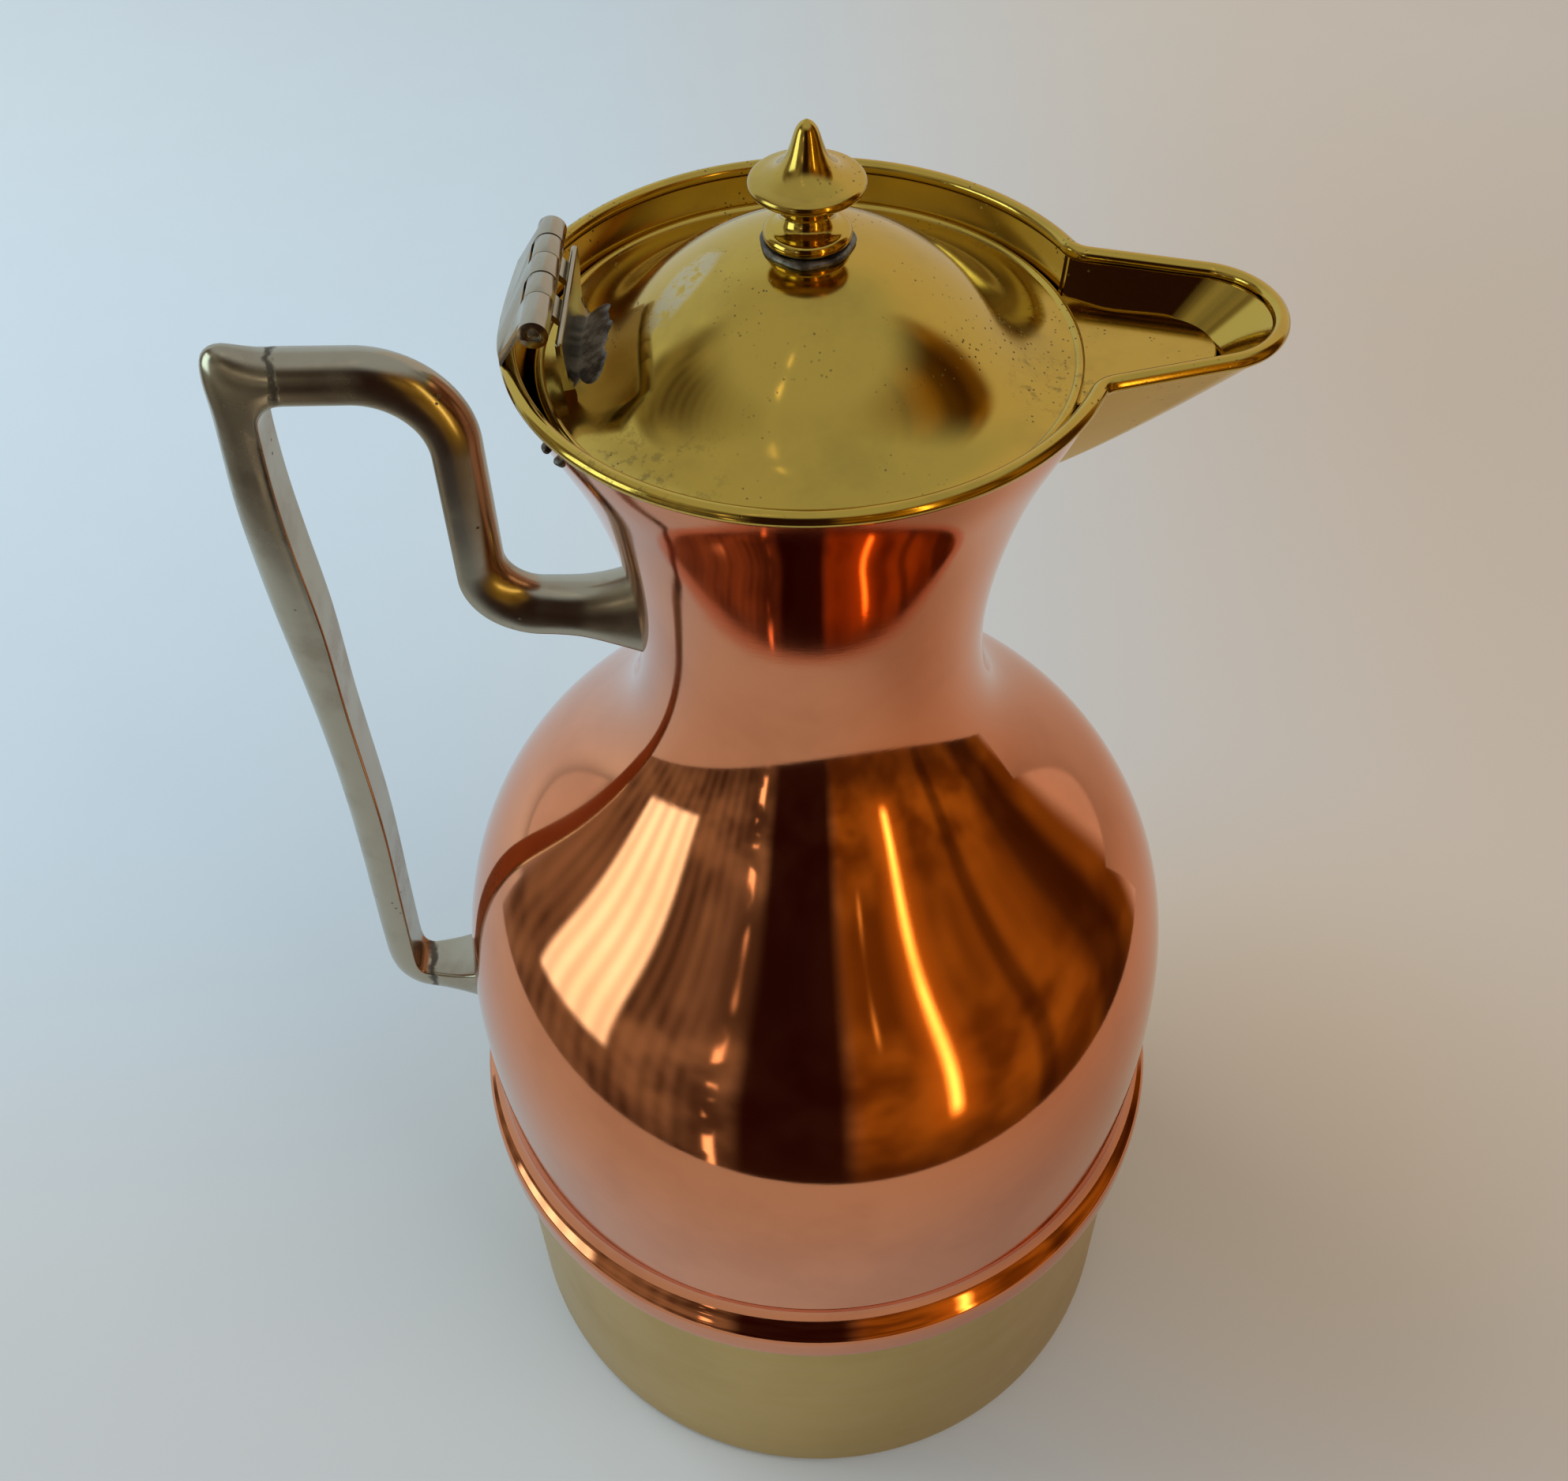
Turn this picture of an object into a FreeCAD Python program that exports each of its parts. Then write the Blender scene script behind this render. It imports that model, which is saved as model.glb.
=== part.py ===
import FreeCAD, Part

import math
import os

from FreeCAD import Vector

# A jacketed hot water jug: a copper jacket over a brass base cup, with a tinned inner vessel,
# a brass funnel collar with a wired rim and a pouring lip, a hinged brass lid and a cast
# nickel silver handle.
#
# Millimetres. +Z is up and z = 0 is the face the jug stands on. The jug's axis is the Z axis,
# the pouring lip points along +X, and the handle and the hinge are on the -X side.

# ---- overall sizes -----------------------------------------------------------------------
BASE_RADIUS = 70.0
BASE_HEIGHT = 66.2
WAIST_RADIUS = 29.3
RIM_RADIUS = 45.0
RIM_HEIGHT = 262.25
BELLY_RADIUS = BASE_RADIUS + 0.5
WAIST_HEIGHT = RIM_HEIGHT * 0.7626
BELLY_HEIGHT = BASE_HEIGHT + (WAIST_HEIGHT - BASE_HEIGHT) * 0.32

# ---- sheet metal -------------------------------------------------------------------------
JACKET_WALL = 0.7
COLLAR_WALL = 0.7
LINER_WALL = 0.8
BASE_WALL = 1.0
LIP_WALL = 0.8
LID_WALL = 0.8
SEAT_GAP = 0.1

# ---- base cup, and the band that joins it to the jacket -----------------------------------
BASE_CORNER = 2.5
BAND_WALL = 0.9
BAND_BELOW = 8.0
BAND_ABOVE = 2.6

# ---- jacket ------------------------------------------------------------------------------
BEAD_SIZE = 2.8
BEAD_RADIUS = BASE_RADIUS + 3.1
SKIRT_RADIUS = BASE_RADIUS - 0.4
# (share of the way up, share of the swell) from the belly to the waist, then to the rim
SHOULDER_SHAPE = ((0.0, 1.0), (0.27, 0.925), (0.45, 0.735), (0.62, 0.39), (0.80, 0.095), (1.0, 0.0))
FLARE_SHAPE = ((0.23, 0.045), (0.49, 0.245), (0.75, 0.585), (0.93, 0.895), (1.0, 1.0))
FLARE_RADIUS = RIM_RADIUS - 0.6
JACKET_TOP = RIM_HEIGHT - 1.0

# ---- inner vessel ------------------------------------------------------------------------
AIR_GAP = 4.6
LINER_NECK_DROP = 8.0
LINER_CORNER = 8.0
COLLAR_SOCKET = 9.0
CORK_HEIGHT = 7.0
CORK_RADIUS = BASE_RADIUS - 22.0
NECK_RING_HEIGHT = 3.0

# ---- wired rim and pouring lip -----------------------------------------------------------
ROLL_SIZE = 1.25
WIRE_SIZE = 0.55
LIP_LENGTH = RIM_RADIUS + 24.5
LIP_TIP_RADIUS = 13.2
LIP_TAPER = 15.0
LIP_JOINT_RADIUS = 4.0
LIP_KEEL_DROP = 27.5
LIP_KEEL_RADIUS = 2.2

# ---- handle ------------------------------------------------------------------------------
HANDLE_REACH = BELLY_RADIUS + 17.9
GRIP_TOP = RIM_HEIGHT - 7.85
GRIP_BOTTOM = BELLY_HEIGHT - 12.5
GRIP_THICK = 7.4
GRIP_WIDTH = 8.8
GRIP_EDGE = 2.6
GRIP_TOP_BEND = 9.0
GRIP_BOTTOM_BEND = 5.0
THUMB_DROP = 14.0
THUMB_LEAN = 2.6
THUMB_WIDTH = 5.2
TOP_SEAM = HANDLE_REACH - 9.8
BOTTOM_SEAM = HANDLE_REACH - 6.4
ARM_DROP_REACH = WAIST_RADIUS + (HANDLE_REACH - WAIST_RADIUS) * 0.425
ARM_TOP_BEND = 13.5
ARM_FOOT_BEND = 9.0
ARM_FOOT_HEIGHT = WAIST_HEIGHT + 6.8
ARM_FOOT_LENGTH = (ARM_DROP_REACH - WAIST_RADIUS) * 0.48
ARM_FOOT_TALL = 10.0
ARM_FOOT_WIDE = 11.4
LUG_HEIGHT = GRIP_BOTTOM - 2.5
LUG_TALL = 15.5
LUG_WIDE = 12.5
DOWEL_RADIUS = 1.5
DOWEL_LENGTH = 9.0

# ---- hinge -------------------------------------------------------------------------------
BARREL_REACH = RIM_RADIUS - 7.2
BARREL_HEIGHT = RIM_HEIGHT + 7.35
BARREL_RADIUS = 2.15
PIN_RADIUS = 1.0
PIN_CLEARANCE = 0.03
PIN_SHORT = 0.4
KNUCKLES = (7.6, 5.2, 4.9, 4.9, 4.8)
KNUCKLE_GAP = 0.2
LEAF_WALL = 1.0
LEAF_SLOPE = 56.5
LEAF_HALF_WIDTH = 12.0
BRACKET_WALL = 1.0
BRACKET_CLEARANCE = 0.45
BRACKET_HALF_TOP = 12.6
BRACKET_HALF_FOOT = 10.0
BRACKET_SHOULDER = 2.0
BRACKET_FOOT = 4.5
BRACKET_FOOT_HEIGHT = 3.2
SWING_CLEARANCE = 0.4

# ---- lid ---------------------------------------------------------------------------------
LID_RADIUS = RIM_RADIUS - 4.6
LID_EDGE_HEIGHT = RIM_HEIGHT - 4.65
LID_EDGE_SIZE = 0.8
# (share of the radius, share of the rise) from the crown out to the flange
LID_SHAPE = (
    (0.0, 1.0), (0.17, 0.985), (0.30, 0.915), (0.445, 0.745),
    (0.595, 0.48), (0.72, 0.215), (0.82, 0.06), (0.91, 0.0), (1.0, 0.0),
)
LID_RISE = 17.6
TONGUE_WALL = 0.8
TONGUE_ROOT = LID_RADIUS - 7.4
TONGUE_TIP = LIP_LENGTH - 9.5
# (share of the way from root to tip, half width) along the tongue's edge
TONGUE_SHAPE = ((0.22, 13.4), (0.36, 10.0), (0.47, 9.0), (0.81, 6.4), (0.963, 2.9))

# ---- finial ------------------------------------------------------------------------------
SOLDER_RING_RADIUS = 7.0
SOLDER_RING_HEIGHT = 0.7
FINIAL_FOOT_RADIUS = 6.3
FINIAL_NECK_RADIUS = 3.5
FINIAL_DISC_RADIUS = 8.2
FINIAL_CONE_RADIUS = 2.5
FINIAL_ROUND = 1.0
FINIAL_HEIGHT = 18.0
# shares of the finial's height at the end of its foot, neck, lower disc, upper disc and shoulder
FINIAL_STEPS = (0.12, 0.38, 0.49, 0.59)
# (radius as a share of the cone's, share of the height) along the pointed cone
FINIAL_CONE = ((1.44, 0.66), (1.0, 0.75), (0.72, 0.88), (0.32, 0.97))
STUD_RADIUS = 1.6
STUD_BELOW = 5.0
STUD_ABOVE = 7.0
NUT_SIZE = 7.0
NUT_HEIGHT = 2.4
WASHER_RADIUS = 5.0
WASHER_HEIGHT = 0.7

# ---- solder tacks under the rim ----------------------------------------------------------
TACK_ANGLES = (213.0, 218.0)
TACK_RADIUS = 1.1
TACK_DROP = 3.2

UP = Vector(0, 0, 1)
AXIS_Y = Vector(0, 1, 0)
BARREL = Vector(-BARREL_REACH, 0, BARREL_HEIGHT)
LID_CROWN = LID_EDGE_HEIGHT + LID_RISE


# ---- outlines, in the XZ plane -----------------------------------------------------------
def at(radius, height):
    """A point of an outline that is turned about the jug's axis."""
    return Vector(radius, 0, height)


def spline(points):
    """A smooth edge through the points."""
    curve = Part.BSplineCurve()
    curve.interpolate(points)
    return curve.toShape()


def lines(points):
    """Straight edges from point to point."""
    return [Part.makeLine(a, b) for a, b in zip(points, points[1:])]


def turned(edges):
    """The solid turned about the jug's axis by a closed outline."""
    face = Part.Face(Part.Wire(Part.__sortEdges__(edges)))
    return face.revolve(Vector(0, 0, 0), UP, 360)


def swell(shape, low_radius, low_height, high_radius, high_height):
    """Outline points whose radius swells from one size to the other by the given shares."""
    points = []
    for rise, share in shape:
        height = low_height + (high_height - low_height) * rise
        points.append(at(high_radius + (low_radius - high_radius) * share, height))
    return points


def body_points(inset):
    """The jacket's outline from its skirt to its rim, brought in by a distance."""
    skirt_height = BASE_HEIGHT + 2 * BEAD_SIZE
    middle = (SKIRT_RADIUS + 2 * BELLY_RADIUS) / 3
    points = [at(SKIRT_RADIUS, skirt_height), at(middle, (skirt_height + BELLY_HEIGHT) / 2)]
    points += swell(SHOULDER_SHAPE, BELLY_RADIUS, BELLY_HEIGHT, WAIST_RADIUS, WAIST_HEIGHT)
    flare = FLARE_RADIUS - WAIST_RADIUS
    for rise, share in FLARE_SHAPE:
        height = WAIST_HEIGHT + (JACKET_TOP - WAIST_HEIGHT) * rise
        points.append(at(WAIST_RADIUS + flare * share, height))
    if inset == 0:
        return points
    edge = spline(points)
    first, last = edge.ParameterRange
    moved = []
    for point in points:
        along = edge.Curve.parameter(point)
        along = min(max(along, first), last)
        tangent = edge.tangentAt(along)
        moved.append(point + Vector(-abs(tangent.z), 0, tangent.x) * inset)
    moved[0].z = skirt_height
    moved[-1].z = JACKET_TOP
    return moved


def filled(points):
    """The solid inside an outline that runs from its foot to its top."""
    foot = at(0, points[0].z)
    top = at(0, points[-1].z)
    return turned([spline(points)] + lines([points[-1], top, foot, points[0]]))


def tube(inner, outer, low, high):
    """A plain ring about the jug's axis."""
    ring = Part.makeCylinder(outer, high - low, at(0, low))
    return ring.cut(Part.makeCylinder(inner, high - low, at(0, low)))


# ---- base cup and jacket -----------------------------------------------------------------
def base_cup():
    """The spun cup the jug stands on: a flat bottom, a rounded corner and a plain wall."""
    solid = Part.makeCylinder(BASE_RADIUS, BASE_HEIGHT)
    solid = solid.makeFillet(BASE_CORNER, [solid.Edges[2]])
    inside = Part.makeCylinder(BASE_RADIUS - BASE_WALL, BASE_HEIGHT, at(0, BASE_WALL))
    inside = inside.makeFillet(BASE_CORNER - BASE_WALL, [inside.Edges[2]])
    return solid.cut(inside)


def joint_band():
    """The hidden band soldered inside the base cup's edge and the jacket's bead."""
    outer = BASE_RADIUS - BASE_WALL
    return tube(outer - BAND_WALL, outer, BASE_HEIGHT - BAND_BELOW, BASE_HEIGHT + BAND_ABOVE)


def bead():
    """The half round bead rolled on the jacket's lower edge."""
    middle = at(BEAD_RADIUS - BEAD_SIZE, BASE_HEIGHT + BEAD_SIZE)
    foot = at(middle.x, BASE_HEIGHT)
    head = at(middle.x, BASE_HEIGHT + 2 * BEAD_SIZE)
    arc = Part.Arc(foot, at(BEAD_RADIUS, middle.z), head).toShape()
    inner = SKIRT_RADIUS - JACKET_WALL
    band_face = BASE_RADIUS - BASE_WALL
    step = BASE_HEIGHT + BAND_ABOVE
    back = [head, at(inner, head.z), at(inner, step), at(band_face, step), at(band_face, BASE_HEIGHT), foot]
    return turned([arc] + lines(back))


def copper_jacket():
    """The polished jacket: bead, belly, waist and flare, open under the pouring lip."""
    outer = body_points(0)
    inner = body_points(JACKET_WALL)
    ends = lines([outer[0], inner[0]]) + lines([inner[-1], outer[-1]])
    shell = turned([spline(outer), spline(inner)] + ends)
    shell = shell.fuse(bead()).removeSplitter()
    return shell.cut(rim_roll()).cut(lip_block(0))


# ---- inner vessel ------------------------------------------------------------------------
def collar_radius():
    """The collar's outer radius where it becomes a socket for the vessel's neck."""
    return WAIST_RADIUS - JACKET_WALL - SEAT_GAP


def liner_neck():
    """The vessel's outer radius in its neck."""
    return collar_radius() - COLLAR_WALL - SEAT_GAP


def liner_points(inset):
    """The vessel's outline from its bottom corner to its mouth, brought in by a distance."""
    neck = liner_neck() - inset
    belly = BELLY_RADIUS - JACKET_WALL - AIR_GAP - inset
    side = BASE_RADIUS - BASE_WALL - AIR_GAP - inset
    corner = BASE_WALL + CORK_HEIGHT + LINER_CORNER
    neck_height = WAIST_HEIGHT - LINER_NECK_DROP
    points = [at(side, corner), at(side, (corner + BELLY_HEIGHT) / 2)]
    points += swell(SHOULDER_SHAPE, belly, BELLY_HEIGHT, neck, neck_height)
    points.append(at(neck, WAIST_HEIGHT + COLLAR_SOCKET))
    return points


def liner_block(inset):
    """The solid inside the vessel's outer face, or inside its inner face."""
    points = liner_points(inset)
    floor = BASE_WALL + CORK_HEIGHT + inset
    start = at(points[0].x - LINER_CORNER + inset, floor)
    round_part = LINER_CORNER - inset
    bend = round_part * (1 - math.sqrt(0.5))
    middle = at(points[0].x - bend, floor + bend)
    arc = Part.Arc(start, middle, points[0]).toShape()
    top = at(0, points[-1].z)
    return turned([arc, spline(points)] + lines([points[-1], top, at(0, floor), start]))


def inner_liner():
    """The tinned vessel that holds the water, inside an air gap."""
    return liner_block(0).cut(liner_block(LINER_WALL))


def cork_pad():
    """The cork disc that carries the vessel on the base cup."""
    return Part.makeCylinder(CORK_RADIUS, CORK_HEIGHT, at(0, BASE_WALL))


def neck_ring():
    """The ring round the vessel's neck, under the collar's socket, that holds it central."""
    high = WAIST_HEIGHT
    low = high - NECK_RING_HEIGHT
    ring = tube(liner_neck() + SEAT_GAP, WAIST_RADIUS - JACKET_WALL - SEAT_GAP, low, high)
    return ring.cut(liner_block(0))


# ---- collar, wired rim and pouring lip ---------------------------------------------------
def rim_path():
    """The middle line of the wired edge: round the mouth and out along the pouring lip."""
    ring = RIM_RADIUS - ROLL_SIZE
    tip = LIP_TIP_RADIUS - ROLL_SIZE
    centre = LIP_LENGTH - LIP_TIP_RADIUS
    lean = math.radians(LIP_TAPER)
    side = Vector(-math.cos(lean), math.sin(lean), 0)
    out = Vector(math.sin(lean), math.cos(lean), 0)
    joint = Vector(centre, 0, 0) + out * (tip + LIP_JOINT_RADIUS)
    reach = ring + LIP_JOINT_RADIUS
    half = joint.dot(side)
    along = -half - math.sqrt(half * half - joint.dot(joint) + reach * reach)
    if along < 0:
        along = -half + math.sqrt(half * half - joint.dot(joint) + reach * reach)
    joint = joint + side * along
    level = Vector(0, 0, RIM_HEIGHT)
    tip_end = Vector(centre, 0, 0) + out * tip
    side_end = joint - out * LIP_JOINT_RADIUS
    ring_end = joint * (ring / reach)
    towards = (joint * -1).normalize() + out * -1
    joint_middle = joint + towards.normalize() * LIP_JOINT_RADIUS
    edges = []
    for sign in (1, -1):
        turn = [Vector(p.x, p.y * sign, 0) + level for p in (tip_end, side_end, joint_middle, ring_end)]
        edges.append(Part.makeLine(turn[0], turn[1]))
        edges.append(Part.Arc(turn[1], turn[2], turn[3]).toShape())
        if sign > 0:
            top_end, ring_start = turn[0], turn[3]
    low_end = Vector(top_end.x, -top_end.y, RIM_HEIGHT)
    ring_stop = Vector(ring_start.x, -ring_start.y, RIM_HEIGHT)
    edges.append(Part.Arc(low_end, Vector(centre + tip, 0, RIM_HEIGHT), top_end).toShape())
    edges.append(Part.Arc(ring_start, Vector(-ring, 0, RIM_HEIGHT), ring_stop).toShape())
    return Part.Wire(Part.__sortEdges__(edges))


def rim_rod(size):
    """A round rod along the wired edge."""
    rod = None
    for edge in rim_path().Edges:
        begin = edge.valueAt(edge.FirstParameter)
        heading = edge.tangentAt(edge.FirstParameter)
        circle = Part.Face(Part.Wire(Part.makeCircle(size, begin, heading)))
        if edge.Curve.TypeId == "Part::GeomLine":
            piece = circle.extrude(heading * edge.Length)
        else:
            turn = math.degrees(edge.LastParameter - edge.FirstParameter)
            piece = circle.revolve(edge.Curve.Center, edge.Curve.Axis, turn)
        rod = piece if rod is None else rod.fuse(piece)
    return rod.removeSplitter()


def rim_roll():
    """The rolled edge as a full rod."""
    return rim_rod(ROLL_SIZE)


def rim_wire():
    """The wire that the sheet is rolled over."""
    return rim_rod(WIRE_SIZE)


def lip_outline(inset, height, tip_radius, tip_reach, root):
    """The lip's plan at one height: a round tip and two sides that spread toward the mouth."""
    radius = tip_radius - inset
    centre = tip_reach - tip_radius
    lean = math.radians(LIP_TAPER)
    end = Vector(centre + radius * math.sin(lean), radius * math.cos(lean), height)
    back = Vector(root, end.y + (end.x - root) * math.tan(lean), height)
    tip = Vector(centre + radius, 0, height)
    mirror_end = Vector(end.x, -end.y, height)
    mirror_back = Vector(back.x, -back.y, height)
    arc = Part.Arc(mirror_end, tip, end).toShape()
    sides = lines([end, back, mirror_back, mirror_end])
    return Part.Wire([arc] + sides)


def lip_block(inset):
    """The solid inside the lip's outer face, or inside its inner face, from mouth to keel."""
    root = WAIST_RADIUS - LIP_KEEL_RADIUS
    foot = RIM_HEIGHT - LIP_KEEL_DROP
    keel = root + LIP_KEEL_RADIUS * 4
    wires = [
        lip_outline(inset, foot, LIP_KEEL_RADIUS, keel, root),
        lip_outline(inset, RIM_HEIGHT, LIP_TIP_RADIUS, LIP_LENGTH, root),
    ]
    block = Part.makeLoft(wires, True, True)
    head = Part.Face(wires[1]).extrude(Vector(0, 0, ROLL_SIZE * 2))
    return block.fuse(head) if inset > 0 else block


def funnel_block(inset):
    """The solid inside the collar's outer face, or inside its inner face."""
    points = body_points(JACKET_WALL + SEAT_GAP + inset)
    low = WAIST_HEIGHT
    flare = [point for point in points if point.z > low + 1]
    neck = at(collar_radius() - inset, low)
    flare[-1].z = RIM_HEIGHT
    return filled([neck] + flare)


def collar():
    """The funnel that lines the flare, rolled over a wire at its rim."""
    shell = funnel_block(0).cut(funnel_block(COLLAR_WALL))
    shell = shell.cut(lip_block(0))
    return shell.fuse(rim_roll()).cut(rim_wire()).removeSplitter()


def pouring_lip():
    """The channel let into the collar, from its keel up to the wired edge."""
    block = lip_block(0).cut(lip_block(LIP_WALL))
    block = block.cut(funnel_block(COLLAR_WALL))
    return block.cut(rim_roll())


def solder_tacks():
    """Two drops of solder left between the rim and the jacket."""
    tacks = []
    wall = filled(body_points(0))
    for angle in TACK_ANGLES:
        turn = math.radians(angle)
        radius = FLARE_RADIUS - TACK_RADIUS
        centre = Vector(radius * math.cos(turn), radius * math.sin(turn), JACKET_TOP - TACK_DROP)
        tacks.append(Part.makeSphere(TACK_RADIUS, centre).cut(wall))
    return Part.makeCompound(tacks)


# ---- handle ------------------------------------------------------------------------------
def rounded(centre, across, along, half_across, half_along, edge):
    """A rounded rectangle about a centre, in the plane of two directions."""
    corner = (1 - math.sqrt(0.5)) * edge
    wire = []
    signs = ((1, 1), (-1, 1), (-1, -1), (1, -1))
    spots = []
    for a, b in signs:
        flat = centre + across * (a * (half_across - edge)) + along * (b * half_along)
        upright = centre + across * (a * half_across) + along * (b * (half_along - edge))
        middle = centre + across * (a * (half_across - corner)) + along * (b * (half_along - corner))
        spots.append((upright, middle, flat) if a * b > 0 else (flat, middle, upright))
    for index, spot in enumerate(spots):
        wire.append(Part.Arc(*spot).toShape())
        wire.append(Part.makeLine(spot[2], spots[(index + 1) % 4][0]))
    return Part.Wire(wire)


def bent_bar(points, bends):
    """A bar of the handle's section that follows straight runs joined by round bends."""
    solid = None
    start = points[0]
    for index in range(1, len(points)):
        heading = (points[index] - points[index - 1]).normalize()
        across = heading.cross(AXIS_Y).normalize()
        last = index == len(points) - 1
        stop = points[index]
        if not last:
            after = (points[index + 1] - points[index]).normalize()
            angle = heading.getAngle(after)
            stop = points[index] - heading * (bends[index - 1] * math.tan(angle / 2))
        section = rounded(start, across, AXIS_Y, GRIP_THICK / 2, GRIP_WIDTH / 2, GRIP_EDGE)
        piece = Part.Face(section).extrude(stop - start)
        solid = piece if solid is None else solid.fuse(piece)
        if not last:
            turn_axis = heading.cross(after).normalize()
            centre = stop + turn_axis.cross(heading).normalize() * bends[index - 1]
            section = rounded(stop, across, AXIS_Y, GRIP_THICK / 2, GRIP_WIDTH / 2, GRIP_EDGE)
            solid = solid.fuse(Part.Face(section).revolve(centre, turn_axis, math.degrees(angle)))
            start = points[index] + after * (bends[index - 1] * math.tan(angle / 2))
    return solid.removeSplitter()


def dowel(seam, height):
    """A pin across one of the handle's two seams."""
    start = Vector(-seam - DOWEL_LENGTH / 2, 0, height)
    return Part.makeCylinder(DOWEL_RADIUS, DOWEL_LENGTH, start, Vector(1, 0, 0))


def handle_dowels():
    """The two pins that locate the grip on its arm and its lug before they are soldered."""
    return Part.makeCompound([dowel(TOP_SEAM, GRIP_TOP), dowel(BOTTOM_SEAM, GRIP_BOTTOM)])


def thumb_point():
    """The pointed outer corner at the grip's top."""
    outer = -HANDLE_REACH - GRIP_THICK / 2
    top = GRIP_TOP + GRIP_THICK / 2
    corners = [
        at(outer, top - THUMB_DROP), at(outer + THUMB_LEAN, top), at(-TOP_SEAM, top),
        at(-TOP_SEAM, GRIP_TOP), at(-HANDLE_REACH, top - THUMB_DROP), at(outer, top - THUMB_DROP),
    ]
    outline = [corner - AXIS_Y * (THUMB_WIDTH / 2) for corner in corners]
    return Part.Face(Part.Wire(lines(outline))).extrude(AXIS_Y * THUMB_WIDTH)


def handle_grip():
    """The long grip with its two corners."""
    points = [
        Vector(-TOP_SEAM, 0, GRIP_TOP),
        Vector(-HANDLE_REACH, 0, GRIP_TOP),
        Vector(-HANDLE_REACH, 0, GRIP_BOTTOM),
        Vector(-BOTTOM_SEAM, 0, GRIP_BOTTOM),
    ]
    bar = bent_bar(points, [GRIP_TOP_BEND, GRIP_BOTTOM_BEND])
    return bar.fuse(thumb_point()).removeSplitter().cut(handle_dowels())


def handle_upper_arm():
    """The arm from the grip's top seam down to its flared foot on the jacket's waist."""
    foot_start = -WAIST_RADIUS - ARM_FOOT_LENGTH
    points = [
        Vector(-TOP_SEAM, 0, GRIP_TOP),
        Vector(-ARM_DROP_REACH, 0, GRIP_TOP),
        Vector(-ARM_DROP_REACH, 0, ARM_FOOT_HEIGHT),
        Vector(foot_start, 0, ARM_FOOT_HEIGHT),
    ]
    arm = bent_bar(points, [ARM_TOP_BEND, ARM_FOOT_BEND])
    narrow = rounded(points[-1], UP, AXIS_Y, GRIP_THICK / 2, GRIP_WIDTH / 2, GRIP_EDGE)
    end = Vector(-WAIST_RADIUS + JACKET_WALL * 4, 0, ARM_FOOT_HEIGHT)
    wide = rounded(end, UP, AXIS_Y, ARM_FOOT_TALL / 2, ARM_FOOT_WIDE / 2, GRIP_EDGE)
    foot = Part.makeLoft([narrow, wide], True, True)
    return arm.fuse(foot).removeSplitter().cut(filled(body_points(0))).cut(handle_dowels())


def handle_lower_lug():
    """The lug that flares from the grip's bottom seam to the jacket's belly."""
    start = Vector(-BOTTOM_SEAM, 0, GRIP_BOTTOM)
    end = Vector(-BELLY_RADIUS + JACKET_WALL * 4, 0, LUG_HEIGHT)
    narrow = rounded(start, UP, AXIS_Y, GRIP_THICK / 2, GRIP_WIDTH / 2, GRIP_EDGE)
    wide = rounded(end, UP, AXIS_Y, LUG_TALL / 2, LUG_WIDE / 2, GRIP_EDGE)
    lug = Part.makeLoft([narrow, wide], True, True)
    return lug.cut(filled(body_points(0))).cut(handle_dowels())


# ---- hinge -------------------------------------------------------------------------------
def knuckle_spans():
    """Each knuckle's start and end along the barrel, from the near end to the far end."""
    spans = []
    start = -sum(KNUCKLES) / 2
    for length in KNUCKLES:
        spans.append((start + KNUCKLE_GAP / 2, start + length - KNUCKLE_GAP / 2))
        start += length
    return spans


def knuckle(span, bore):
    """One knuckle of the barrel."""
    start = BARREL + AXIS_Y * span[0]
    length = span[1] - span[0]
    solid = Part.makeCylinder(BARREL_RADIUS, length, start, AXIS_Y)
    return solid.cut(Part.makeCylinder(bore, length, start, AXIS_Y))


def swing_slot(span):
    """The room that a knuckle of the other leaf needs to turn in."""
    start = BARREL + AXIS_Y * (span[0] - KNUCKLE_GAP)
    length = span[1] - span[0] + 2 * KNUCKLE_GAP
    return Part.makeCylinder(BARREL_RADIUS + SWING_CLEARANCE, length, start, AXIS_Y)


def barrel_core(radius):
    """A rod along the barrel's whole length."""
    length = sum(KNUCKLES)
    return Part.makeCylinder(radius, length, BARREL - AXIS_Y * (length / 2), AXIS_Y)


def body_leaf():
    """The curved leaf that stands on the rim and carries three of the knuckles."""
    slope = math.radians(LEAF_SLOPE)
    run = Vector(math.cos(slope), 0, math.sin(slope))
    out = Vector(-math.sin(slope), 0, math.cos(slope))
    head = BARREL + out * BARREL_RADIUS
    foot = head - run * ((head.z - RIM_HEIGHT) / run.z)
    half = LEAF_HALF_WIDTH
    corners = [foot, head, head - out * LEAF_WALL, foot - out * LEAF_WALL, foot]
    outline = [corner - AXIS_Y * half for corner in corners]
    plate = Part.Face(Part.Wire(lines(outline))).extrude(AXIS_Y * (2 * half))
    plate = plate.cut(barrel_core(BARREL_RADIUS - LEAF_WALL / 2))
    spans = knuckle_spans()
    for span in spans[1::2]:
        plate = plate.cut(swing_slot(span))
    for span in spans[0::2]:
        plate = plate.fuse(knuckle(span, PIN_RADIUS))
    plate = plate.cut(barrel_core(PIN_RADIUS))
    above_rim = Part.makeCylinder(RIM_RADIUS, BARREL_RADIUS * 8, at(0, RIM_HEIGHT))
    plate = plate.common(above_rim)
    return plate.cut(rim_roll()).removeSplitter()


def hinge_pin():
    """The pin, held fast in the body leaf's knuckles."""
    length = sum(KNUCKLES) - 2 * PIN_SHORT
    return Part.makeCylinder(PIN_RADIUS, length, BARREL - AXIS_Y * (length / 2), AXIS_Y)


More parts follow.
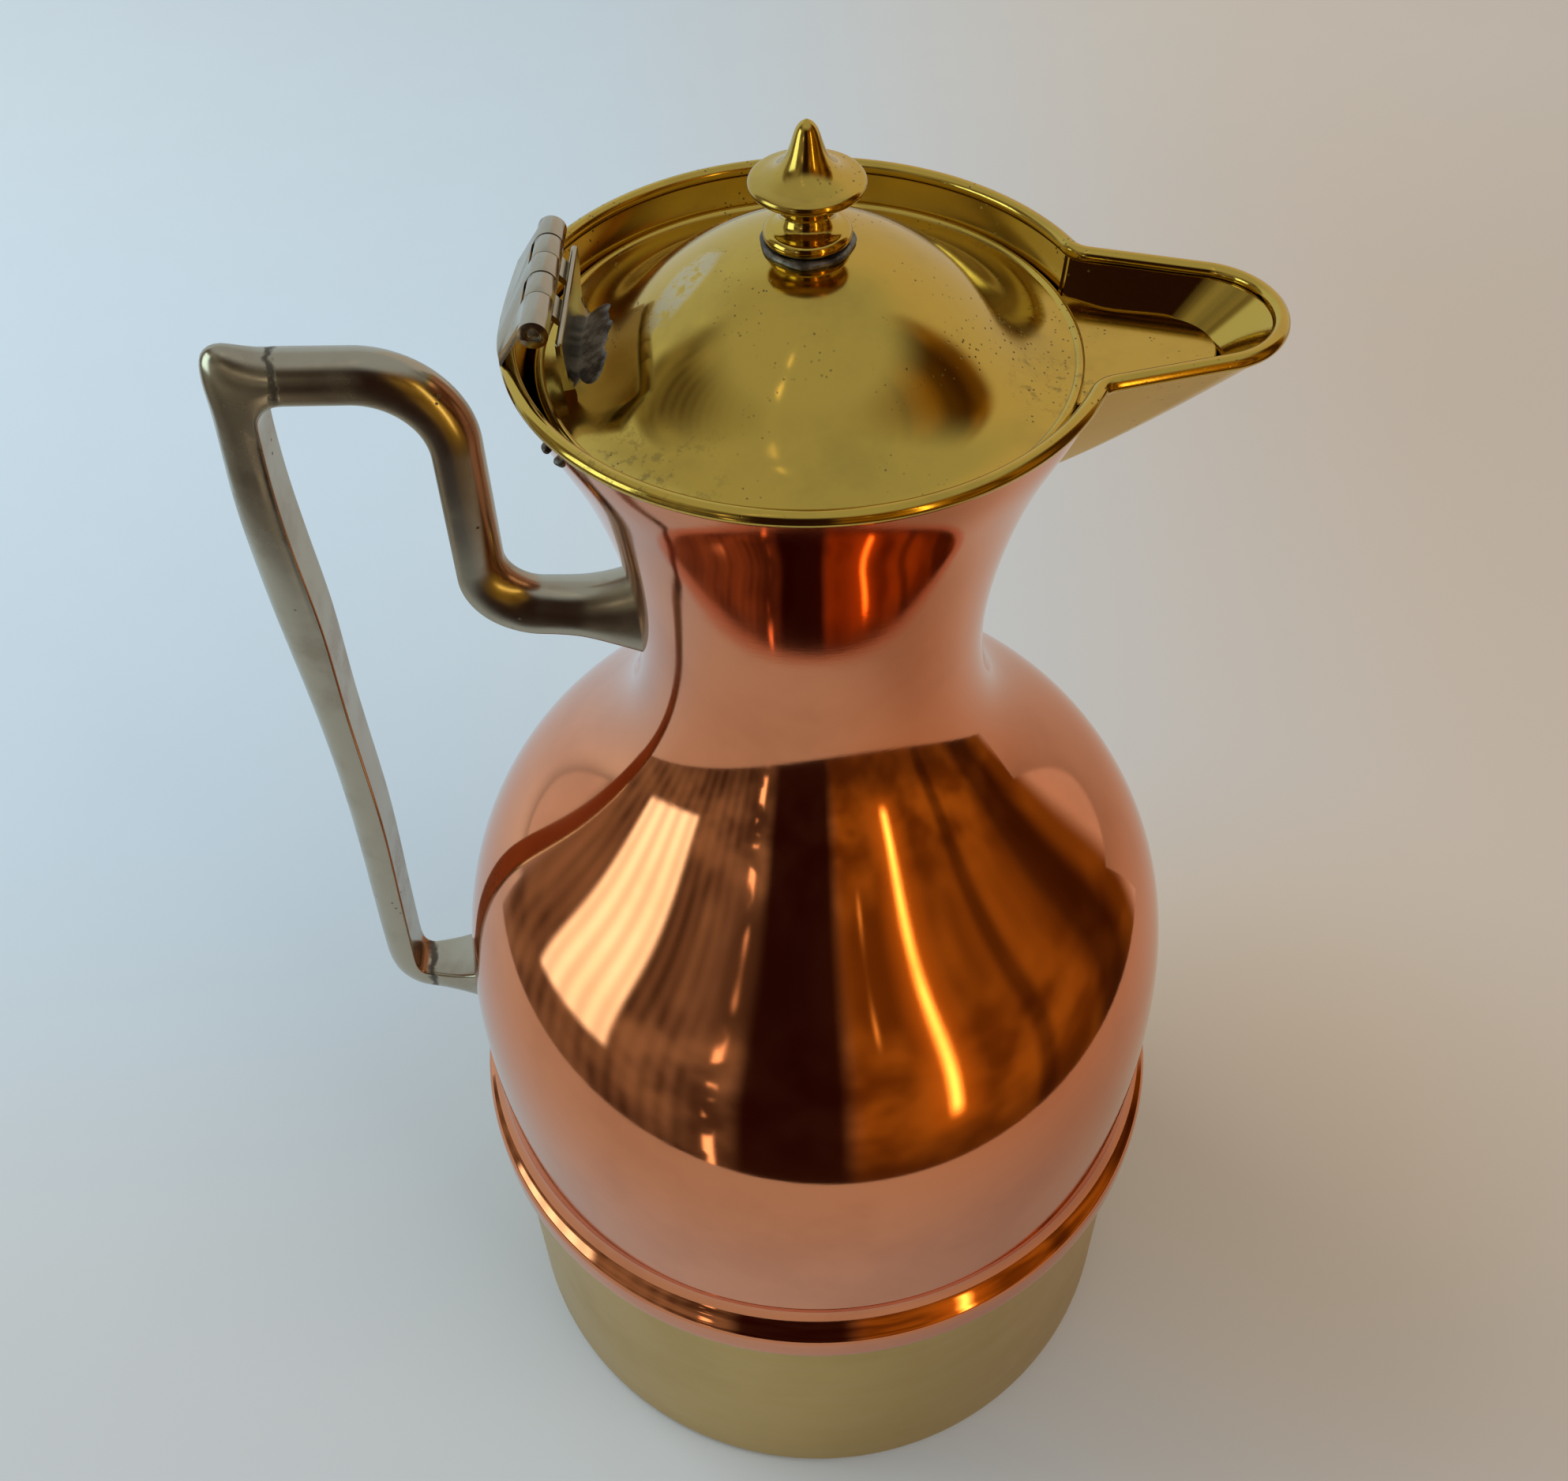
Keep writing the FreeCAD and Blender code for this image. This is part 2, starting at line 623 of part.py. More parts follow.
def lid_bracket():
    """The upright bracket soldered to the lid, with the other two knuckles."""
    near = -BARREL_REACH + BARREL_RADIUS + BRACKET_CLEARANCE
    far = near + BRACKET_WALL
    top = BARREL_HEIGHT - BARREL_RADIUS
    shoulder = top - BRACKET_SHOULDER
    low = LID_EDGE_HEIGHT - LID_EDGE_SIZE
    corners = [
        Vector(near, -BRACKET_HALF_FOOT, low), Vector(near, -BRACKET_HALF_TOP, shoulder),
        Vector(near, -BRACKET_HALF_TOP, top), Vector(near, BRACKET_HALF_TOP, top),
        Vector(near, BRACKET_HALF_TOP, shoulder), Vector(near, BRACKET_HALF_FOOT, low),
    ]
    strip = Part.Face(Part.Wire(lines(corners + corners[:1]))).extrude(Vector(BRACKET_WALL, 0, 0))
    start = Vector(near, -BRACKET_HALF_FOOT, low)
    foot = Part.makeBox(BRACKET_FOOT, 2 * BRACKET_HALF_FOOT, BRACKET_FOOT_HEIGHT, start)
    solid = strip.fuse(foot)
    spans = knuckle_spans()
    for span in spans[1::2]:
        width = span[1] - span[0]
        web_low = BARREL_HEIGHT - BARREL_RADIUS
        web = Part.makeBox(far + BARREL_REACH, width, LEAF_WALL, Vector(-BARREL_REACH, span[0], web_low))
        solid = solid.fuse(web).fuse(knuckle(span, PIN_RADIUS + PIN_CLEARANCE))
    for span in spans[0::2]:
        solid = solid.cut(swing_slot(span))
    solid = solid.cut(barrel_core(PIN_RADIUS + PIN_CLEARANCE))
    return solid.cut(lid_block(0)).removeSplitter()


# ---- lid ---------------------------------------------------------------------------------
def lid_points(drop):
    """The lid's outline from its crown to its edge, lowered by a distance."""
    return [at(LID_RADIUS * out, LID_EDGE_HEIGHT + LID_RISE * rise - drop) for out, rise in LID_SHAPE]


def lid_curve(drop):
    """The lid's outline as an edge that is level at the crown and at the edge."""
    points = lid_points(drop)
    curve = Part.BSplineCurve()
    curve.interpolate(Points=points, InitialTangent=Vector(1, 0, 0), FinalTangent=Vector(1, 0, 0))
    return curve.toShape()


def lid_block(drop):
    """Everything under the lid's upper face, or under its lower face."""
    points = lid_points(drop)
    base = LID_EDGE_HEIGHT - LID_RISE
    ring = lines([points[-1], at(LID_RADIUS, base), at(0, base), points[0]])
    return turned([lid_curve(drop)] + ring)


def lid_dome():
    """The spun lid: dome, shoulder, flange and a beaded edge."""
    shell = lid_block(0).cut(lid_block(LID_WALL))
    middle = LID_RADIUS - LID_EDGE_SIZE
    height = LID_EDGE_HEIGHT - LID_WALL / 2
    edge = Part.makeTorus(middle, LID_EDGE_SIZE, at(0, height))
    hole = Part.makeCylinder(STUD_RADIUS, LID_RISE * 2, at(0, LID_EDGE_HEIGHT))
    return shell.fuse(edge).cut(hole).removeSplitter()


def lid_tongue():
    """The flat tongue under the lid that covers the pouring lip."""
    top = LID_EDGE_HEIGHT - LID_WALL
    length = TONGUE_TIP - TONGUE_ROOT
    half = [Vector(TONGUE_ROOT + length * along, width, top) for along, width in TONGUE_SHAPE]
    mirror = [Vector(point.x, -point.y, top) for point in reversed(half)]
    curve = spline(half + [Vector(TONGUE_TIP, 0, top)] + mirror)
    width = half[0].y
    root = [mirror[-1], Vector(TONGUE_ROOT, -width, top), Vector(TONGUE_ROOT, width, top), half[0]]
    face = Part.Face(Part.Wire([curve] + lines(root)))
    return face.extrude(Vector(0, 0, -TONGUE_WALL)).cut(lid_dome())


# ---- finial ------------------------------------------------------------------------------
def solder_ring():
    """The thin ring of solder round the finial's foot."""
    ring = tube(STUD_RADIUS, SOLDER_RING_RADIUS, LID_CROWN - SOLDER_RING_HEIGHT, LID_CROWN + SOLDER_RING_HEIGHT)
    return ring.cut(lid_block(0))


def finial():
    """The turned finial: foot ring, neck, disc and a pointed cone."""
    low = LID_CROWN + SOLDER_RING_HEIGHT
    foot_end, neck_end, disc_middle, disc_end = [low + share * FINIAL_HEIGHT for share in FINIAL_STEPS]
    foot = FINIAL_FOOT_RADIUS
    neck = FINIAL_NECK_RADIUS
    disc = FINIAL_DISC_RADIUS
    round_edge = FINIAL_ROUND
    start = at(foot - round_edge, low)
    foot_top = at(foot - round_edge, foot_end)
    neck_top = at(neck + round_edge, neck_end)
    disc_rim = at(disc, disc_middle)
    disc_top = at(disc - 3 * round_edge, disc_end)
    tip = at(0, low + FINIAL_HEIGHT)
    cone = [at(FINIAL_CONE_RADIUS * out, low + rise * FINIAL_HEIGHT) for out, rise in FINIAL_CONE]
    edges = [
        Part.Arc(start, at(foot, (low + foot_end) / 2), foot_top).toShape(),
        Part.Arc(foot_top, at(neck, (foot_end + neck_end) / 2), neck_top).toShape(),
        Part.Arc(neck_top, at(disc - round_edge, (neck_end + disc_middle) / 2), disc_rim).toShape(),
        Part.Arc(disc_rim, at(disc - round_edge, (disc_middle + disc_end) / 2 + round_edge / 3), disc_top).toShape(),
        spline([disc_top] + cone + [tip]),
    ]
    body = turned(edges + lines([tip, at(0, low), start]))
    return body.cut(finial_stud())


def finial_stud():
    """The threaded stud through the lid, as a plain rod of its outer diameter."""
    return Part.makeCylinder(STUD_RADIUS, STUD_BELOW + STUD_ABOVE, at(0, LID_CROWN - STUD_BELOW))


def finial_washer():
    """The washer between the nut and the underside of the lid."""
    high = LID_CROWN - LID_WALL
    return tube(STUD_RADIUS, WASHER_RADIUS, high - WASHER_HEIGHT, high).cut(lid_shell_room())


def lid_shell_room():
    """The lid's own wall, which the washer is dished against."""
    return lid_block(0).cut(lid_block(LID_WALL))


def finial_nut():
    """The hexagonal nut under the lid."""
    high = LID_CROWN - LID_WALL - WASHER_HEIGHT
    radius = NUT_SIZE / math.sqrt(3)
    corners = []
    for index in range(7):
        turn = math.radians(60 * index)
        corners.append(Vector(radius * math.cos(turn), radius * math.sin(turn), high - NUT_HEIGHT))
    face = Part.Face(Part.Wire(lines(corners)))
    return face.extrude(Vector(0, 0, NUT_HEIGHT)).cut(finial_stud())


NODES = {
    "base_cup": base_cup,
    "joint_band": joint_band,
    "copper_jacket": copper_jacket,
    "inner_liner": inner_liner,
    "cork_pad": cork_pad,
    "neck_ring": neck_ring,
    "collar": collar,
    "rim_wire": rim_wire,
    "pouring_lip": pouring_lip,
    "solder_tacks": solder_tacks,
    "handle_upper_arm": handle_upper_arm,
    "handle_grip": handle_grip,
    "handle_lower_lug": handle_lower_lug,
    "handle_dowels": handle_dowels,
    "hinge_body_leaf": body_leaf,
    "hinge_pin": hinge_pin,
    "hinge_lid_bracket": lid_bracket,
    "lid_dome": lid_dome,
    "lid_tongue": lid_tongue,
    "finial": finial,
    "finial_solder_ring": solder_ring,
    "finial_stud": finial_stud,
    "finial_washer": finial_washer,
    "finial_nut": finial_nut,
}


def main():
    """Write one STEP file per piece."""
    os.makedirs("parts", exist_ok=True)
    for name, make in NODES.items():
        shape = make()
        print(name, shape.isValid(), len(shape.Solids), round(shape.Volume, 1))
        shape.exportStep("parts/" + name + ".step")


main()
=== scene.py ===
import math

import bmesh
import bpy
import numpy as np
from mathutils import Matrix, Vector


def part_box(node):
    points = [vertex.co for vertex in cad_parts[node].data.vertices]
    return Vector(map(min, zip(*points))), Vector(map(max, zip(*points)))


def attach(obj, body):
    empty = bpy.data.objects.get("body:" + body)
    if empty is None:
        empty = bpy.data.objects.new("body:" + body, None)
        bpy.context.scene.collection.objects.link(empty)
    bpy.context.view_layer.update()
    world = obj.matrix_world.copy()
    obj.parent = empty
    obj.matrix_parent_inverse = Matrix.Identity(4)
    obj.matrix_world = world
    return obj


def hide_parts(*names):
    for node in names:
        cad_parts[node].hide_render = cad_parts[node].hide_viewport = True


# The looks of a jacketed hot water jug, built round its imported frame: polished copper over a
# satin brass cup, a polished brass collar, lip and lid, and a cast nickel silver handle.

bl_info = {
    "name": "Jacketed Hot Water Jug",
    "version": (1, 0, 0),
    "blender": (4, 5, 0),
    "location": "3D View > Sidebar > Jug",
    "description": "Builds the visible pieces, the finishes and the stage of a hot water jug",
    "category": "Add Mesh",
}

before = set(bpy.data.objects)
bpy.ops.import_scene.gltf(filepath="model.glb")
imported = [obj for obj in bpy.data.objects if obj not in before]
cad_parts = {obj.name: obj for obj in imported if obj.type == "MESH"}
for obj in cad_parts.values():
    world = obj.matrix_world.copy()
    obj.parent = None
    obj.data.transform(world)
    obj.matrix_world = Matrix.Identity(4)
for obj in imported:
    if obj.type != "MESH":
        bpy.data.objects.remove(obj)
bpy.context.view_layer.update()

MM = 0.001

# ---- sizes that come from the frame, in metres ---------------------------------------------
BASE_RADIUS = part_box("base_cup")[1].x
BASE_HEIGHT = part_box("base_cup")[1].z
BEAD_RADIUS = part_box("copper_jacket")[1].x
RIM_RADIUS = -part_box("collar")[0].x
RIM_ROLL = 1.25 * MM
RIM_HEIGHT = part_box("collar")[1].z - RIM_ROLL
LIP_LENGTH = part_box("collar")[1].x
GRIP_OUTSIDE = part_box("handle_grip")[0].x

# ---- outlines of the turned sheet, in millimetres -------------------------------------------
BODY = (
    (69.6, 71.8), (70.2, 90.4), (70.5, 109.0), (67.4, 133.5), (59.6, 149.9), (45.4, 165.4),
    (33.2, 181.8), (29.3, 200.0), (30.0, 214.1), (33.0, 230.0), (38.1, 245.9), (42.8, 257.0),
    (44.4, 261.25),
)
WAIST_HEIGHT = 200.0
BEAD_FLAT = 4.2
COVE_SLOPE = 46.0
BARREL_X = -37.8
BARREL_Z = 269.6
BARREL_RADIUS = 2.15
BARREL_BORE = 1.03
KNUCKLE_SPANS = ((-13.6, -6.2), (-6.0, -1.0), (-0.8, 3.9), (4.1, 8.8), (9.0, 13.6))
BRACKET_NEAR = -35.2
BRACKET_TOP = 267.45
BRACKET_HALF_TOP = 12.6
BRACKET_HALF_FOOT = 10.0
BRACKET_TAPER = 3.3
BASE_SHEET = 1.0
LINER_SHEET = 0.8
LID_SHEET = 0.8
SHEET = 0.7
COLLAR_GAP = 0.1
LIP_OVERLAP = 0.4
TACK_TURNS = (213.0, 218.0)
TACK_REACH = 43.3
# where the handle's top seam lies: a dark line of solder in the joint and painted shade in the crease beside
# it
TOP_SEAM_SHADE = 80.0
LOW_SEAM = 82.0
SHARP = 35.0
LID_RADIUS = 40.4
LID_EDGE_HEIGHT = 257.6
LID_RISE = 17.6
LID_SHAPE = (
    (-0.30, 0.915), (-0.17, 0.985), (0.0, 1.0), (0.17, 0.985), (0.30, 0.915), (0.445, 0.745),
    (0.595, 0.48), (0.72, 0.215), (0.82, 0.06), (0.91, 0.0), (1.0, 0.0), (1.08, 0.0),
)


# ---- curves ----------------------------------------------------------------------------------
def smooth_line(points, count):
    """Points along a natural cubic curve that passes through the given points."""
    through = np.array(points, float)
    step = np.linalg.norm(np.diff(through, axis=0), axis=1)
    knot = np.concatenate([[0.0], np.cumsum(step)])
    size = len(through)
    matrix = np.eye(size)
    right = np.zeros_like(through)
    for i in range(1, size - 1):
        matrix[i, i - 1:i + 2] = (step[i - 1], 2 * (step[i - 1] + step[i]), step[i])
        after = (through[i + 1] - through[i]) / step[i]
        before = (through[i] - through[i - 1]) / step[i - 1]
        right[i] = 6 * (after - before)
    bend = np.linalg.solve(matrix, right)
    along = np.linspace(0.0, knot[-1], count)
    k = np.clip(np.searchsorted(knot, along, side="right") - 1, 0, size - 2)
    span = step[k][:, None]
    low = ((knot[k + 1] - along) / step[k])[:, None]
    high = 1 - low
    line = low * through[k] + high * through[k + 1]
    return line + ((low ** 3 - low) * bend[k] + (high ** 3 - high) * bend[k + 1]) * span ** 2 / 6


def arc(centre, radius, start, stop, count):
    """Points along a circle's arc, with its angles in degrees."""
    turn = np.radians(np.linspace(start, stop, count))
    return np.column_stack([centre[0] + radius * np.cos(turn), centre[1] + radius * np.sin(turn)])


def straight(start, stop, count):
    """Evenly spaced points from one point to the other, without the last."""
    share = np.linspace(0.0, 1.0, count, endpoint=False)[:, None]
    return np.array(start, float) * (1 - share) + np.array(stop, float) * share


def beside(line, distance):
    """A line moved sideways, toward the jug's axis where the line rises."""
    slope = np.gradient(line, axis=0)
    slope /= np.linalg.norm(slope, axis=1)[:, None]
    return line + np.column_stack([-slope[:, 1], slope[:, 0]]) * distance


def body_line(low, inset):
    """The jacket's outline above a height, brought in by a distance."""
    line = beside(smooth_line(BODY, 300), inset)
    return line[line[:, 1] > low]


def lid_line():
    """The lid's upper outline from near its middle to near its edge."""
    shape = [(LID_RADIUS * out, LID_EDGE_HEIGHT + LID_RISE * rise) for out, rise in LID_SHAPE]
    line = smooth_line(shape, 220)
    return line[(line[:, 0] > 1.6) & (line[:, 0] < LID_RADIUS - 1.3)]


LID_LINE = lid_line()


def lid_height(radius):
    """The height of the lid's upper face at a distance from its middle."""
    return float(np.interp(radius, LID_LINE[:, 0], LID_LINE[:, 1]))


# ---- meshes ----------------------------------------------------------------------------------
def shade(mesh, sharp=SHARP):
    """Smooth shading, broken where faces meet at more than an angle."""
    mesh.polygons.foreach_set("use_smooth", [True] * len(mesh.polygons))
    mesh.set_sharp_from_angle(angle=math.radians(sharp))


def piece(name, points, faces, body, nodes, slot, sharp=SHARP):
    """A closed mesh in millimetres made into a finished piece that rides on a body."""
    mesh = bpy.data.meshes.new(name)
    mesh.from_pydata([tuple(p) for p in np.array(points, float) * MM], [], faces)
    work = bmesh.new()
    work.from_mesh(mesh)
    bmesh.ops.remove_doubles(work, verts=work.verts, dist=0.004 * MM)
    bmesh.ops.recalc_face_normals(work, faces=work.faces)
    work.to_mesh(mesh)
    work.free()
    return dressed(name, mesh, body, nodes, slot, sharp)


def dressed(name, mesh, body, nodes, slot, sharp=SHARP):
    """An object for a mesh, with the finish of its slot, riding on its body, with the nodes it stands for
    hidden.
    """
    mesh.materials.clear()
    mesh.materials.append(finish_for(slot))
    shade(mesh, sharp)
    made = bpy.data.objects.new(name, mesh)
    bpy.context.scene.collection.objects.link(made)
    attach(made, body)
    if nodes:
        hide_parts(*nodes)
    return made


def grid_faces(rows, columns, start=0, wrap=False):
    """Quads between rows of points, each row closed on itself where it wraps."""
    faces = []
    for row in range(rows - 1):
        for column in range(columns if wrap else columns - 1):
            after = (column + 1) % columns
            low = start + row * columns
            faces.append((low + column, low + after, low + columns + after, low + columns + column))
    return faces


def ring_faces(rows, columns):
    """Quads between closed rows, whose last row meets the first."""
    faces = grid_faces(rows, columns, wrap=True)
    last = (rows - 1) * columns
    return faces + [(last + c, last + (c + 1) % columns, (c + 1) % columns, c) for c in range(columns)]


def capped_faces(rows, columns):
    """Quads between closed rows, with a flat face at each end."""
    ends = [tuple(range(columns)), tuple(range((rows - 1) * columns, rows * columns))]
    return grid_faces(rows, columns, wrap=True) + ends


def turned(outline, segments=192):
    """Points and faces of a closed outline turned about the jug's axis."""
    turn = np.linspace(0.0, 2 * math.pi, segments, endpoint=False)
    points = []
    for radius, height in outline:
        for angle in turn:
            points.append((radius * math.cos(angle), radius * math.sin(angle), height))
    return points, ring_faces(len(outline), segments)


def sheet(outer, inner, opening, segments=224):
    """A turned sheet with an outer and an inner line, open over an angle round the +X side."""
    points = []
    open_at = []
    for line in (outer, inner):
        for radius, height in line:
            half = opening(radius, height)
            open_at.append(half > 0)
            for step in range(segments + 1):
                angle = half + (2 * math.pi - 2 * half) * step / segments
                points.append((radius * math.cos(angle), radius * math.sin(angle), height))
    rows = len(outer)
    columns = segments + 1
    faces = grid_faces(rows, columns)
    faces += grid_faces(rows, columns, rows * columns)
    for row in (0, rows - 1):
        for column in range(segments):
            low = row * columns + column
            high = (rows + row) * columns + column
            faces.append((low, low + 1, high + 1, high))
    for row in range(rows - 1):
        if open_at[row] or open_at[row + 1]:
            for column in (0, segments):
                low = row * columns + column
                high = (rows + row) * columns + column
                faces.append((low, low + columns, high + columns, high))
    return points, faces


def bar(outside, inside, halves, flat=1.6):
    """A bar skinned over matching stations of its outside line and its inside line. Its
    section is a D: round outside, with two flat strips beside a flat inside face."""
    turn = np.radians(np.linspace(0.0, 180.0, 29))
    corner = np.radians(np.linspace(0.0, 90.0, 5))
    points = []
    for out, back, half in zip(outside, inside, halves):
        thick = np.linalg.norm(np.array(out) - np.array(back))
        way = (np.array(out) - np.array(back)) / thick
        strip = min(flat, thick * 0.3)
        small = min(0.55, strip * 0.5)
        section = [(strip + (thick - strip) * math.sin(a), half * math.cos(a)) for a in turn]
        section += [(small - small * math.sin(a), -half + small - small * math.cos(a)) for a in corner]
        section += [(0.0, -half + small * 1.4), (0.0, 0.0), (0.0, half - small * 1.4)]
        section += [(small - small * math.cos(a), half - small + small * math.sin(a)) for a in corner]
        for depth, across in section:
            spot = np.array(back) + way * depth
            points.append((spot[0], across, spot[1]))
    return points, capped_faces(len(halves), len(points) // len(halves))


def merged_copy(node, round_edge):
    """A copy of a node's mesh with its triangles joined and its sharp edges rounded."""
    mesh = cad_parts[node].data.copy()
    work = bmesh.new()
    work.from_mesh(mesh)
    bmesh.ops.remove_doubles(work, verts=work.verts, dist=0.002 * MM)
    bmesh.ops.dissolve_limit(work, angle_limit=math.radians(1.0), verts=work.verts, edges=work.edges)
    edges = [e for e in work.edges if len(e.link_faces) == 2 and e.calc_face_angle() > math.radians(32)]
    bmesh.ops.bevel(
        work, geom=edges, offset=round_edge * MM, segments=3, profile=0.5,
        affect="EDGES", clamp_overlap=True,
    )
    work.to_mesh(mesh)
    work.free()
    return mesh


# ---- shader building ---------------------------------------------------------------------------
class Flow:
    """A number carried by a socket, for writing shader maths as plain expressions."""

    def __init__(self, paint, socket):
        self.paint = paint
        self.socket = socket

    def do(self, operation, *values):
        """The result of one Math node on this number and the others."""
        links = {i: v for i, v in enumerate((self,) + values)}
        return self.paint.add("ShaderNodeMath", {"operation": operation}, links)

    def __add__(self, other):
        return self.do("ADD", other)

    __radd__ = __add__

    def __mul__(self, other):
        return self.do("MULTIPLY", other)

    __rmul__ = __mul__

    def __sub__(self, other):
        return self.do("SUBTRACT", other)

    def __rsub__(self, other):
        return (self * -1) + other

    def __truediv__(self, other):
        return self.do("DIVIDE", other)

    def __neg__(self):
        return self * -1

    def __pow__(self, other):
        return self.do("POWER", other)

    def step(self, low, high):
        """0 below one value, 1 above the other, and smooth between them."""
        values = {0: self, 1: low, 2: high, 3: 0.0, 4: 1.0}
        settings = {"interpolation_type": "SMOOTHSTEP"}
        return self.paint.add("ShaderNodeMapRange", settings, values)

    def between(self, low, high, soft):
        """1 inside a span and 0 outside it, with soft ends."""
        return self.step(low - soft, low + soft) * (1 - self.step(high - soft, high + soft))


class Paint:
    """The node tree of one material."""

    def __init__(self, name):
        self.material = bpy.data.materials.new(name)
        self.material.use_nodes = True
        self.tree = self.material.node_tree
        self.tree.nodes.clear()

    def add(self, kind, settings=None, values=None, output=0):
        """A node with its settings, and its sockets' values or links, as its output."""
        node = self.tree.nodes.new(kind)
        for key, value in (settings or {}).items():
            setattr(node, key, value)
        for key, value in (values or {}).items():
            self.feed(node.inputs[key], value)
        return Flow(self, node.outputs[output])

    def feed(self, socket, value):
        """A link or a plain value on one socket."""
        if isinstance(value, Flow):
            self.tree.links.new(value.socket, socket)
        elif socket.type == "RGBA":
            socket.default_value = (*value, 1.0)
        else:
            socket.default_value = value

    def place(self):
        """Where a point lies on the piece, in metres."""
        return self.add("ShaderNodeTexCoord", output=3)

    def parts_of(self, vector):
        """The three numbers of a vector."""
        node = self.tree.nodes.new("ShaderNodeSeparateXYZ")
        self.tree.links.new(vector.socket, node.inputs[0])
        return [Flow(self, out) for out in node.outputs]

    def vector(self, x, y, z):
        """A vector of three numbers."""
        return self.add("ShaderNodeCombineXYZ", None, {0: x, 1: y, 2: z})

    def mix(self, share, first, second):
        """One colour turned into the other by a share."""
        values = {0: share, 6: first, 7: second}
        return self.add("ShaderNodeMix", {"data_type": "RGBA"}, values, output=2)

    def noise(self, vector, scale, detail=3.0, rough=0.5):
        """Soft random values about one half."""
        values = {"Vector": vector, "Scale": scale, "Detail": detail, "Roughness": rough}
        return self.add("ShaderNodeTexNoise", {"noise_dimensions": "3D"}, values)

    def specks(self, vector, scale, size):
        """Small round specks, 1 inside and 0 outside."""
        values = {"Vector": vector, "Scale": scale}
        distance = self.add("ShaderNodeTexVoronoi", None, values)
        return 1 - distance.step(size * 0.5, size)

    def spot(self, centre, radius, soft):
        """1 near a point given in millimetres, falling to 0 at its radius."""
        values = {0: self.place(), 1: tuple(c * MM for c in centre)}
        away = self.add("ShaderNodeVectorMath", {"operation": "DISTANCE"}, values, output=1)
        return 1 - away.step(radius * (1 - soft) * MM, radius * (1 + soft) * MM)

    def round_lines(self, scale_up, scale_round):
        """Fine lines that run round the jug's axis, as a polishing mop leaves them."""
        x, y, z = self.parts_of(self.place())
        out = (x * x + y * y) ** 0.5 + 0.0001
        stretched = self.vector(x / out * scale_round, y / out * scale_round, z * scale_up + out * scale_up)
        return self.noise(stretched, 1.0, 4.0, 0.65)

    def metal(self, colour, rough, bump=None, metallic=1.0, coat=0.0):
        """The surface shader and the material's output."""
        values = {"Base Color": colour, "Roughness": rough, "Metallic": metallic, "Coat Weight": coat}
        shader = self.tree.nodes.new("ShaderNodeBsdfPrincipled")
        for key, value in values.items():
            self.feed(shader.inputs[key], value)
        if bump:
            height, strength, distance = bump
            node = self.tree.nodes.new("ShaderNodeBump")
            node.inputs["Strength"].default_value = strength
            node.inputs["Distance"].default_value = distance * MM
            self.tree.links.new(height.socket, node.inputs["Height"])
            self.tree.links.new(node.outputs[0], shader.inputs["Normal"])
        self.show(Flow(self, shader.outputs[0]))
        return self.material

    def show(self, shader):
        """The finished shader on the material's output."""
        output = self.tree.nodes.new("ShaderNodeOutputMaterial")
        self.tree.links.new(shader.socket, output.inputs[0])


# ---- finishes ----------------------------------------------------------------------------------
def polished_copper(paint, place, colours):
    """Copper spun and mopped bright, with faint cloudy tarnish and hairlines round it."""
    z = paint.parts_of(place)[2]
    cloud = paint.noise(place, 38.0, 4.0, 0.6).step(0.42, 0.72)
    hair = paint.round_lines(2600.0, 6.0)
    fine = paint.noise(place, 900.0, 2.0, 0.5)
    seam = 1 - z.step(BASE_HEIGHT + 4.5 * MM, BASE_HEIGHT + 9 * MM)
    colour = paint.mix(cloud * 0.35, colours.copper, colours.copper_tarnish)
    colour = paint.mix(seam * 0.3, colour, colours.copper_tarnish)
    rough = 0.045 + cloud * 0.03 + hair * 0.03
    height = hair * 0.25 + fine * 0.12 + paint.noise(place, 16.0, 1.0, 0.4) * 6.0
    return paint.metal(colour, rough, (height, 0.35, 0.02))


def polished_brass(paint, place, colours):
    """Brass polished by hand, with grey stains, pits and rub marks."""
    cloud = paint.noise(place, 55.0, 5.0, 0.62).step(0.45, 0.75)
    pits = paint.specks(place, 900.0, 0.22) * paint.noise(place, 70.0, 3.0, 0.6).step(0.5, 0.62)
    hair = paint.round_lines(1500.0, 9.0)
    x, y, z = paint.parts_of(place)
    along = x * 0.7 + y * 0.7 + 0.0145
    across = x * 0.7 - y * 0.7 + 0.0100
    away = (along * 0.45) ** 2 + across * across
    scratch = (1 - away.step(0.0018 ** 2, 0.0036 ** 2)) * z.step(0.262, 0.264)
    scratch = scratch * paint.noise(place, 420.0, 4.0, 0.7).step(0.40, 0.55)
    dark = paint.spot((11.0, -7.5, 274.2), 0.75, 0.3)
    dark = dark.do("MAXIMUM", paint.spot((33.0, -18.0, 258.8), 0.6, 0.5))
    tarnish = paint.spot((35.0, -10.0, 258.5), 6.0, 0.6)
    tarnish = tarnish.do("MAXIMUM", paint.spot((-24.0, -33.0, 257.6), 11.0, 0.6))
    tarnish = tarnish * paint.noise(place, 520.0, 5.0, 0.7).step(0.52, 0.64) * 0.6
    colour = paint.mix(cloud * 0.4, colours.brass, colours.brass_tarnish)
    colour = paint.mix(scratch * 0.75, colour, colours.brass_bare)
    colour = paint.mix(dark * 0.8, colour, colours.dark)
    colour = paint.mix(tarnish * 0.6, colour, colours.dark)
    colour = paint.mix(pits * 0.7, colour, colours.dark)
    rough = 0.1 + cloud * 0.08 + scratch * 0.3 + tarnish * 0.3 + pits * 0.3
    height = hair * 0.3 - pits * 0.8 + paint.noise(place, 45.0, 2.0, 0.5) * 2.4
    return paint.metal(colour, rough, (height, 0.4, 0.03))


